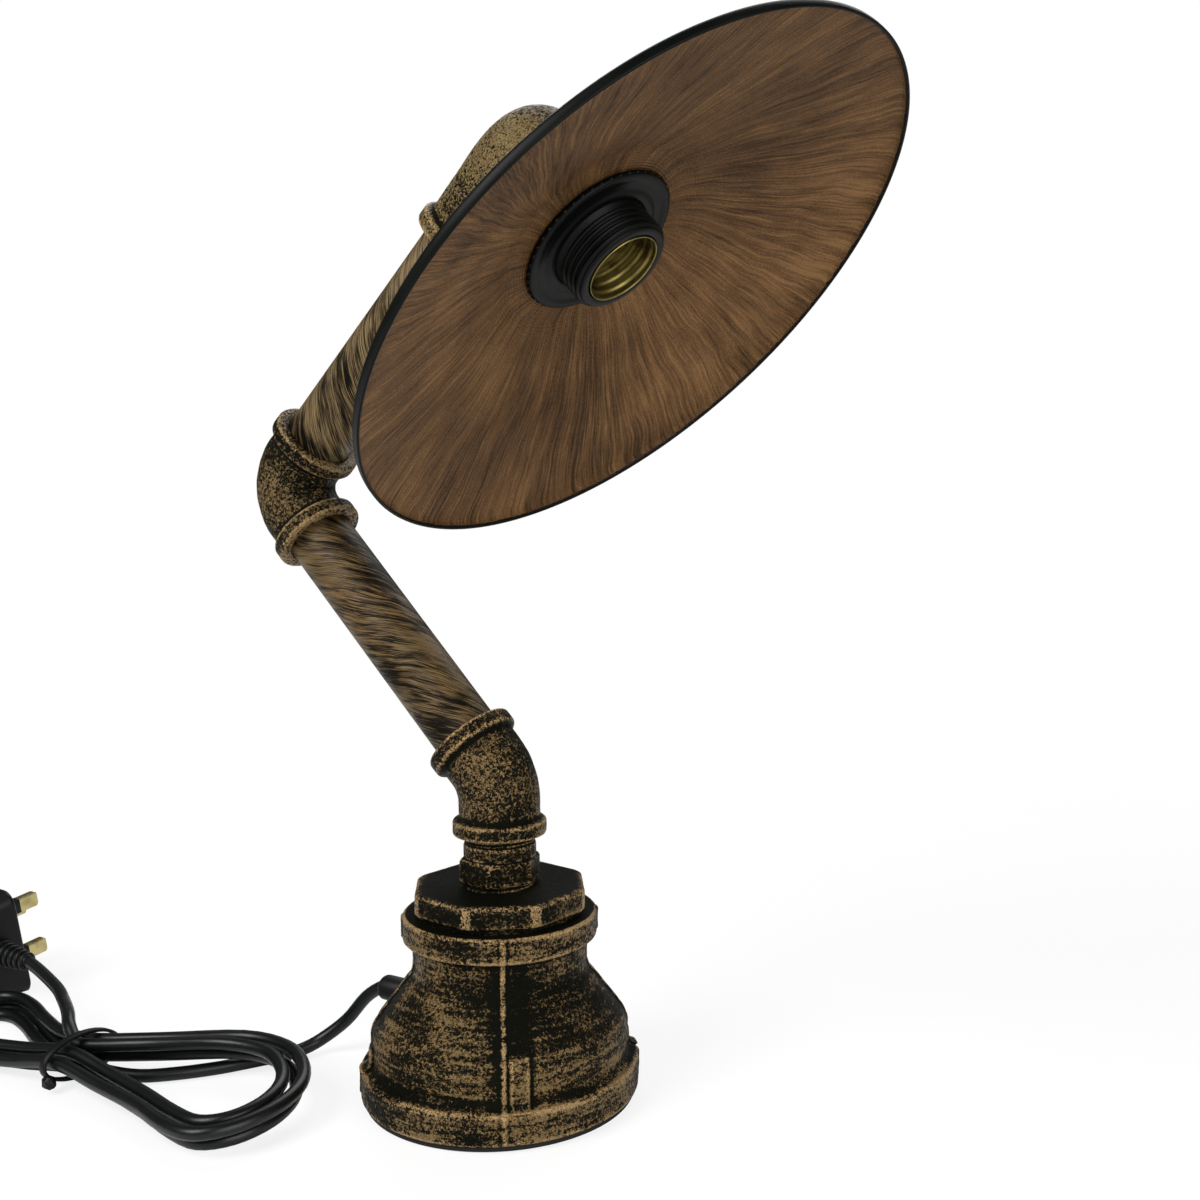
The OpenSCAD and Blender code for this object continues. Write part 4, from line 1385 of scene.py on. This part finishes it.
@dataclass
class Fittings:
    """The elbows and the tubes between them."""

    body_r: float = 14.8
    band_r: float = 17.1
    band_l: float = 5.6
    lip_r: float = 1.1
    pipe_r: float = 12.4
    bore_r: float = 12.46
    thread_bore_r: float = 12.85
    mouth_depth: float = 10.6
    mouth_edge: float = 0.6
    low_face: float = 20.0
    mid_face: float = 27.0
    mid_bend: float = 15.4
    top_face: float = 41.0
    arm_up: float = 165.6
    in_elbow: float = 11.0
    low_pipe_at: float = 9.0
    low_pipe_l: float = 122.9

    def band_bump(self, s: float, big: float, body: float, wide: float) -> float:
        """Radius near a mouth: rounded band, fillet, then the body.

        Args:
            s: Distance from the mouth.
            big: Radius of the band.
            body: Radius of the body.
            wide: Width of the band.

        Returns:
            The radius in mm.
        """
        lip = self.lip_r
        if s < lip:
            return big - lip + math.sqrt(max(0.0, lip ** 2 - (lip - s) ** 2))
        if s < wide - lip:
            return big
        if s < wide + 0.1:
            return big - 1.2 + math.sqrt(max(0.0, 1.44 - (s - wide + lip) ** 2))
        if s < wide + 1.7:
            t = (s - wide - 0.1) / 1.6
            return body + (big - 1.2 - body) * (1 - t) ** 2
        return body

    def elbow(self, name: str, centre: Sequence[float], inward: Vector, outward: Vector, face: float,
              bend: float, fit_a: float, fit_b: float, body: str, node: str,
              finish: CastIronAntiqued) -> None:
        """A fitting with two equal mouths, as one skin along its bend.

        Args:
            name: The piece's name.
            centre: Where its two axes cross, in mm.
            inward: Direction of travel into it.
            outward: Direction of travel out of it.
            face: Centre to each mouth.
            bend: Radius of its middle line.
            fit_a: Bore of its first mouth.
            fit_b: Bore of its second mouth.
            body: The CAD body.
            node: The CAD node.
            finish: Its finish.
        """
        turn = inward.angle(outward)
        tangent = bend * math.tan(turn / 2)
        leg = face - tangent
        total = 2 * leg + bend * turn
        middle = Vector(centre)
        side = Vector((0, 1, 0))
        pivot = middle - inward * tangent + (outward - inward * inward.dot(outward)).normalized() * bend
        spin = 1.0 if inward.cross(outward).dot(side) > 0 else -1.0
        sides, close, apart = 132, 0.35, 0.8

        def place(s: float) -> tuple[Vector, Vector]:
            """Middle point and direction at s mm from the first mouth."""
            if s <= leg:
                return middle - inward * (face - s), inward
            if s >= total - leg:
                return middle + outward * (face - (total - s)), outward
            start = middle - inward * tangent - pivot
            rot = Matrix.Rotation(spin * (s - leg) / bend, 3, side)
            return pivot + rot @ start, rot @ inward

        def ring(s: float, radius: float, wavy: bool = False) -> list[Vector]:
            """One ring of points at s mm from the first mouth."""
            p, d = place(s)
            across = side.cross(d)
            out = []
            for k in range(sides):
                a = 2 * math.pi * k / sides
                ray = across * math.cos(a) + side * math.sin(a)
                r = radius
                if wavy:
                    # the mould's parting line runs along the lamp's plane
                    r += 0.22 * math.exp(-((abs(math.sin(a)) * radius) / 0.7) ** 2)
                    q = p + ray * radius
                    r += 0.13 * noise.noise(q * 0.18) + 0.09 * noise.noise(q * 0.6)
                out.append(p + ray * r)
            return out

        steps = [i * close for i in range(int((self.band_l + 2.4) / close) + 1)]
        count = max(4, int((total - 2 * steps[-1]) / apart))
        between = np.linspace(steps[-1], total - steps[-1], count)[1:-1]
        deep, eased, edge_r = self.mouth_depth, 0.7, self.mouth_edge
        rings = [ring(deep, fit_a), ring(eased, fit_a), ring(0.0, fit_a + edge_r)]
        for s in steps + list(between) + [total - s for s in reversed(steps)]:
            edge = min(s, total - s)
            rings.append(ring(s, self.band_bump(edge, self.band_r, self.body_r, self.band_l), edge > 0.5))
        rings += [ring(total, fit_b + edge_r), ring(total - eased, fit_b), ring(total - deep, fit_b)]
        points, faces = rings_to_mesh(rings)
        put(name, points, faces, body, finish, (node,), rim=True)

    def tube(self, name: str, start: Vector, axis: Vector, length: float, body: str, node: str,
             finish: TubeBrushed) -> None:
        """A tube with eased ends.

        Args:
            name: The piece's name.
            start: Its first end, in mm.
            axis: Its direction.
            length: Its length.
            body: The CAD body.
            node: The CAD node.
            finish: Its finish.
        """
        r, eased, steps = self.pipe_r, 0.5, 40
        wall = [(r, eased + (length - 2 * eased) * k / steps) for k in range(steps + 1)]
        line = [(r - 2.0, 0.0), (r - eased, 0.0)] + wall + [(r - eased, length), (r - 2.0, length)]
        points, faces = revolve(line, 128, start, axis)
        put(name, points, faces, body, finish, (node,))

    def build(self) -> None:
        """Builds the two equal elbows and the two tubes."""
        low, mid = Vector(Spot.LOW.value), Vector(Spot.MID.value)
        self.elbow("elbow_over_foot", low, UP, DOWN_ARM, self.low_face, self.low_face, self.thread_bore_r,
                   self.bore_r, "lower_arm", "lower_elbow",
                   CastIronAntiqued("cast_iron_low_elbow", tuple(low), tuple(DOWN_ARM), cover=0.47,
                                    streak=0.2))
        self.tube("tube_low", low + DOWN_ARM * self.low_pipe_at, DOWN_ARM, self.low_pipe_l, "lower_arm",
                  "lower_pipe", TubeBrushed("tube_low_brushed", tuple(low), tuple(DOWN_ARM), 75.0))
        self.elbow("elbow_middle", mid, DOWN_ARM, UP_ARM, self.mid_face, self.mid_bend, self.bore_r,
                   self.bore_r, "upper_arm", "middle_elbow",
                   CastIronAntiqued("cast_iron_mid_elbow", tuple(mid), tuple(UP_ARM), cover=0.47,
                                    streak=0.2))
        length = self.arm_up - self.mid_face - self.top_face + 2 * self.in_elbow
        self.tube("tube_up", mid + UP_ARM * (self.mid_face - self.in_elbow), UP_ARM, length, "upper_arm",
                  "upper_pipe", TubeBrushed("tube_up_brushed", tuple(mid), tuple(UP_ARM), 105.0, low="3E301A",
                                            high="86704A"))


# ---------------------------------------------------------------- the head


@dataclass
class Head:
    """The reducing elbow, the lampholder and the shade."""

    wide_face: float = 42.0
    wide_r: float = 21.8
    wide_band_r: float = 25.5
    wide_band_l: float = 7.0
    wide_bore_r: float = 20.1
    wide_bore_l: float = 14.5
    throat: float = 2.0
    shade_r: float = 112.0
    shade_front: float = 73.0
    shade_lip: float = 2.5
    shade_seat: float = 42.02
    sheet: float = 1.0
    shell_r: float = 13.88
    shell_inner_r: float = 13.5
    shell_pitch: float = 3.6
    shell_wave: float = 0.45
    fittings: Fittings = field(default_factory=Fittings)

    def local(self, a: float, y: float, b: float) -> Vector:
        """A point from along the arm, across and along the head's axis."""
        return Vector(Spot.TOP.value) - UP_ARM * a + Vector((0, y, 0)) + HEAD * b

    def section(self, p: tuple[float, float], d: tuple[float, float], m: float, w: float,
                wavy: bool = True) -> list[Vector]:
        """A ring of the reducing elbow.

        Args:
            p: Its middle, along the arm and along the head's axis.
            d: Direction of its first half width.
            m: Half width along d.
            w: Half width across the lamp.
            wavy: Whether the mould's seam and unevenness are on it.

        Returns:
            Its points.
        """
        sides = 150
        out = []
        for k in range(sides):
            a = 2 * math.pi * k / sides
            q = self.local(p[0] + d[0] * m * math.cos(a), w * math.sin(a), p[1] + d[1] * m * math.cos(a))
            if wavy:
                ray = (q - self.local(p[0], 0, p[1])).normalized()
                seam = 0.2 * math.exp(-((math.sin(a) * w) / 0.8) ** 2)
                q = q + ray * (seam + 0.14 * noise.noise(q * 0.15) + 0.1 * noise.noise(q * 0.6))
            out.append(q)
        return out

    def mouth(self, face: float, stop: float, band_r: float, body_r: float, band_l: float,
              wide: bool) -> list[list[Vector]]:
        """The outside of one mouth, from its face to where the bend starts.

        Args:
            face: Centre to the face.
            stop: Where the bend starts.
            band_r: Radius of its band.
            body_r: Radius of its body.
            band_l: Width of its band.
            wide: Whether it is the mouth of the lampholder.

        Returns:
            Its rings.
        """
        rings = []
        s = 0.0
        while face - s > stop + 0.4:
            r = self.fittings.band_bump(s, band_r, body_r, band_l)
            middle, way = ((0, face - s), (-1, 0)) if wide else ((face - s, 0), (0, -1))
            rings.append(self.section(middle, way, r, r, s > 0.5))
            s += 0.35 if s < band_l + 2.2 else 0.9
        return rings

    def elbow(self) -> None:
        """The reducing elbow: sections turned about a point in its throat."""
        f = self.fittings
        small, wide, throat = f.body_r, self.wide_r, self.throat
        pivot = (wide + throat, small + throat)
        reach = (pivot[0] + wide, pivot[1] + small)
        steps, square = 34, 3.3
        inlet = ((f.mouth_depth, f.bore_r), (0.7, f.bore_r), (0.0, f.bore_r + f.mouth_edge))
        rings = [self.section((f.top_face - s, 0), (0, -1), r, r, False) for s, r in inlet]
        rings += self.mouth(f.top_face, pivot[0], f.band_r, small, f.band_l, False)
        for i in range(steps + 1):
            u = i / steps
            angle = math.radians(90 * u)
            d = (-math.sin(angle), -math.cos(angle))
            back = ((math.sin(angle) / reach[0]) ** square
                    + (math.cos(angle) / reach[1]) ** square) ** (-1 / square)
            m = (back - throat) / 2
            across = small + (wide - small) * ease(u)
            centre = (pivot[0] + d[0] * (throat + m), pivot[1] + d[1] * (throat + m))
            rings.append(self.section(centre, d, m, across))
        outlet = self.mouth(self.wide_face, pivot[1], self.wide_band_r, wide, self.wide_band_l, True)
        rings += reversed(outlet)
        rings += [self.section((0, self.wide_face - s), (-1, 0), r, r, False)
                  for s, r in ((0.0, self.wide_bore_r + 0.5), (0.7, self.wide_bore_r),
                               (self.wide_bore_l, self.wide_bore_r))]
        points, faces = rings_to_mesh(rings)
        put("elbow_reducing", points, faces, "head",
            CastIronAntiqued("cast_iron_top_elbow", Spot.TOP.value, tuple(UP_ARM), cover=0.56, streak=0.2,
                             gold="8E7849"), ("top_elbow",), rim=True)

    def shade(self) -> None:
        """The spun shade: flat plate, cone and upright lip, black outside."""
        r, front_b, sheet, seat, sides = self.shade_r, self.shade_front, self.sheet, self.shade_seat, 256
        slope = (front_b - 42.0 - self.shade_lip - 1.0) / (r - 36.0)
        first, far, steps = 41.0, r - 4.0, 30

        def cone(q: float) -> float:
            """Height of the outer face at radius q."""
            return seat + (q - 36.6) * slope

        spots = [first + (far - first) * k / steps for k in range(steps + 1)]
        base = cone(r - 2.0) + 0.3
        back = [(18.85, seat), (36.0, seat), (38.0, 42.3)] + [(q, cone(q)) for q in spots]
        back += [(r - 2.2, base - 0.5), (r - 1.2, base + 0.05), (r - 0.5, base + 0.65),
                 (r - 0.12, base + 1.35), (r, base + 2.1)]
        edge = [(r, front_b - 0.35), (r - 0.12, front_b - 0.1), (r - 0.4, front_b), (r - 0.7, front_b),
                (r - 0.9, front_b - 0.12), (r - sheet, front_b - 0.4)]
        front = [(r - sheet - 0.12, base + 1.9), (r - 1.6, base + 1.35), (r - 2.3, base + 0.8)]
        inner = [(q, cone(q) + 1.05) for q in reversed(spots)] + [(38.2, 43.3), (35.8, 43.0), (18.85, 43.0)]
        points, faces = revolve(back + edge + front + inner, sides, Spot.TOP.value, HEAD, closed=True)
        piece = put("shade_spun", points, faces, "head", ShadeSheet("shade_lacquer", front_b), ("shade",))
        piece.data.materials.append(LACQUER.make())
        # the first rows of faces are the outside and half of the edge
        black = (len(back) + 3) * sides
        polygons = piece.data.polygons
        polygons.foreach_set("material_index", [int(i < black) for i in range(len(polygons))])
        piece.data.update()

    def holder(self) -> None:
        """The lampholder: body in the elbow, ridged skirt and its ring."""
        top = Vector(Spot.TOP.value)
        line = [(4.5, 13.0), (15.0, 13.0), (17.5, 15.0), (17.5, 20.0), (20.0, 20.5), (20.0, 41.9),
                (18.5, 42.0), (18.5, 46.2), (17.5, 46.5), (17.4, 57.2), (17.2, 57.6), (16.6, 57.9),
                (14.6, 57.9), (14.1, 57.6), (13.97, 57.2), (13.97, 28.1), (11.9, 28.1), (11.9, 18.1),
                (4.5, 18.1)]
        points, faces = revolve(line, 128, top, HEAD, closed=True)
        put("holder_moulding", points, faces, "head", PHENOLIC, ("holder_body",))
        turn = [(17.0, -1.05), (17.5, -1.0), (18.2, -0.45), (18.45, -0.12), (18.45, 0.12), (18.2, 0.45),
                (17.5, 1.0), (17.0, 1.05)]
        ridge = Repeat(4, rise_mm=2.55)
        ridge.make("holder_thread", revolve(turn, 128, closed=True), frame_matrix(top + HEAD * 48.2, HEAD),
                   "head", PHENOLIC, "black_phenolic")
        ring = [(18.56, 43.04), (29.0, 43.04), (29.4, 43.5), (29.4, 44.6), (29.2, 45.1), (28.8, 45.35),
                (26.4, 45.38), (25.9, 45.1), (22.2, 45.1), (21.6, 45.6), (19.4, 45.6), (18.56, 45.3)]
        points, faces = revolve(fine(ring, 1.2), 192, top, HEAD, closed=True)
        put("ring_moulding", points, faces, "ring", PHENOLIC, ("shade_ring",))
        grips = Repeat(48, turn_deg=7.5, radius_mm=29.3)
        grips.make("ring_grips", eased_block((0.7, 1.7, 1.5), 0.25, 2),
                   frame_matrix(top + HEAD * 44.15, HEAD), "ring", PHENOLIC, "black_phenolic")

    def shell(self) -> None:
        """The lamp shell: thin sheet with its rolled thread."""
        sides = 96
        top = Vector(Spot.TOP.value)
        across, side = frame_on(HEAD)
        heights = [36.3 + 0.3 * k for k in range(74)]
        rings = []
        for radius, rows in ((self.shell_r, heights), (self.shell_inner_r, heights[::-1])):
            for h in rows:
                fade = max(0.0, min(1.0, (58.2 - h) / 2.0, h - 36.0))
                ring = []
                for k in range(sides):
                    a = 2 * math.pi * k / sides
                    wave = 0.5 + 0.5 * math.cos(2 * math.pi * (h / self.shell_pitch - k / sides))
                    r = radius - self.shell_wave * wave * fade
                    ring.append(top + HEAD * h + (across * math.cos(a) + side * math.sin(a)) * r)
                rings.append(ring)
        points, faces = rings_to_mesh(rings, closed=True)
        put("lamp_shell", points, faces, "head", BRASS_SHELL, ("screw_shell",))

    def build(self) -> None:
        """Builds the head's pieces and dresses the small CAD nodes."""
        self.elbow()
        self.shade()
        self.holder()
        self.shell()
        small = ((BRASS_PIN, ("centre_contact", "side_contact", "terminal_live", "terminal_neutral")),
                 (STEATITE, ("contact_base",)), (SCREW_STEEL, ("holder_screw",)), (NYLON, ("gland_nut",)),
                 (SHEATH, ("lead_base", "lead_lower", "lead_upper", "lead_head")))
        for finish, names in small:
            for name in names:
                dress(name, finish)


# ---------------------------------------------------------------- the studio


@dataclass
class Studio:
    """Camera, floor, lamps and world."""

    camera_at: Point = (321.4, -418.9, 237.6)
    look: tuple[float, float, float] = (-0.4839, 0.8694, -0.1000)
    roll: float = 0.44
    lens: float = 43.57
    shift_x: float = -0.0929
    shift_y: float = -0.0010
    paper: str = "F2F2F2"
    white: str = "FFFFFF"
    # the paper turns white between these distances, in metres
    fade_near: float = 0.2
    fade_far: float = 0.7
    near_white: float = 0.8
    sky: float = 0.24
    sky_in_gloss: float = 0.12

    def camera(self) -> None:
        """The camera at the photograph's viewing point."""
        data = bpy.data.cameras.new("camera")
        data.lens = self.lens
        data.sensor_width = 36.0
        data.sensor_fit = "HORIZONTAL"
        data.shift_x, data.shift_y = self.shift_x, self.shift_y
        data.clip_start, data.clip_end = 0.02, 20.0
        camera = shown("camera", data)
        camera.location = Vector(self.camera_at) * MM
        turn = Vector(self.look).normalized().to_track_quat("-Z", "Y").to_matrix()
        roll = Matrix.Rotation(math.radians(self.roll), 3, "Z")
        camera.rotation_euler = (turn @ roll).to_euler()
        bpy.context.scene.camera = camera

    def floor(self) -> None:
        """The plain pale floor, which the camera sees as paper."""
        mesh = bpy.data.meshes.new("floor")
        bm = bmesh.new()
        bmesh.ops.create_grid(bm, x_segments=1, y_segments=1, size=6.0)
        bm.to_mesh(mesh)
        bm.free()
        floor = shown("floor", mesh)
        floor.location = (0, 0, -0.0004)
        material = bpy.data.materials.new("floor_paper")
        material.use_nodes = True
        tree = material.node_tree
        tree.nodes.clear()
        diffuse = add(tree, "ShaderNodeBsdfDiffuse", {"Color": linear(self.paper)})
        glow = add(tree, "ShaderNodeEmission", {"Color": linear(self.white), "Strength": 1.0})
        seen = add(tree, "ShaderNodeLightPath").outputs["Is Camera Ray"]
        reach = add(tree, "ShaderNodeVectorMath", {0: object_coords(tree)}, operation="LENGTH")
        far = add(tree, "ShaderNodeMapRange", {
            "Value": reach.outputs["Value"], "From Min": self.fade_near, "From Max": self.fade_far,
            "To Min": self.near_white, "To Max": 1.0}).outputs[0]
        mixed = add(tree, "ShaderNodeMixShader", {
            0: times(tree, seen, far), 1: diffuse.outputs[0], 2: glow.outputs[0]})
        add(tree, "ShaderNodeOutputMaterial", {0: mixed.outputs[0]})
        mesh.materials.append(material)

    def lamp(self, name: str, at: Point, size: float, power: float, aim: Point = (0.0, 0.0, 180.0)) -> None:
        """One soft square lamp.

        Args:
            name: Its name.
            at: Its place in mm.
            size: Its side in metres.
            power: Its power in watts.
            aim: The point it is turned to, in mm.
        """
        data = bpy.data.lights.new(name, "AREA")
        data.shape = "SQUARE"
        data.size = size
        data.energy = power
        lamp = shown(name, data)
        lamp.location = Vector(at) * MM
        lamp.rotation_euler = (Vector(aim) - Vector(at)).to_track_quat("-Z", "Y").to_euler()

    def world(self) -> None:
        """White to the camera, dim to the piece and dimmer in its gloss."""
        world = bpy.data.worlds.new("studio")
        bpy.context.scene.world = world
        world.use_nodes = True
        tree = world.node_tree
        tree.nodes.clear()
        path = add(tree, "ShaderNodeLightPath")
        white = math_op(tree, "MAXIMUM", path.outputs["Is Camera Ray"], path.outputs["Is Transmission Ray"])
        gloss = times(tree, path.outputs["Is Glossy Ray"], self.sky_in_gloss)
        dim = math_op(tree, "SUBTRACT", self.sky, gloss)
        sky = add(tree, "ShaderNodeBackground", {
            "Color": linear(self.white), "Strength": span(tree, white, dim, 1.0)})
        add(tree, "ShaderNodeOutputWorld", {0: sky.outputs[0]})

    def build(self) -> None:
        """Sets the camera, floor, lamps, world and view transform."""
        self.camera()
        self.floor()
        self.lamp("key", (-350.0, -850.0, 900.0), 0.6, 14.0)
        self.lamp("fill", (950.0, -500.0, 450.0), 0.9, 11.0)
        self.lamp("back", (-300.0, 700.0, 900.0), 0.8, 6.0)
        self.world()
        bpy.context.scene.view_settings.view_transform = "Standard"


def main() -> None:
    """Builds the scene: camera and cord first, then the lamp."""
    logging.basicConfig(level=logging.INFO, format="%(name)s: %(message)s")
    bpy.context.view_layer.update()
    Studio().build()
    MainsCord().build(Plug())
    Foot().build()
    Fittings().build()
    Head().build()


if __name__ == "__main__":
    main()
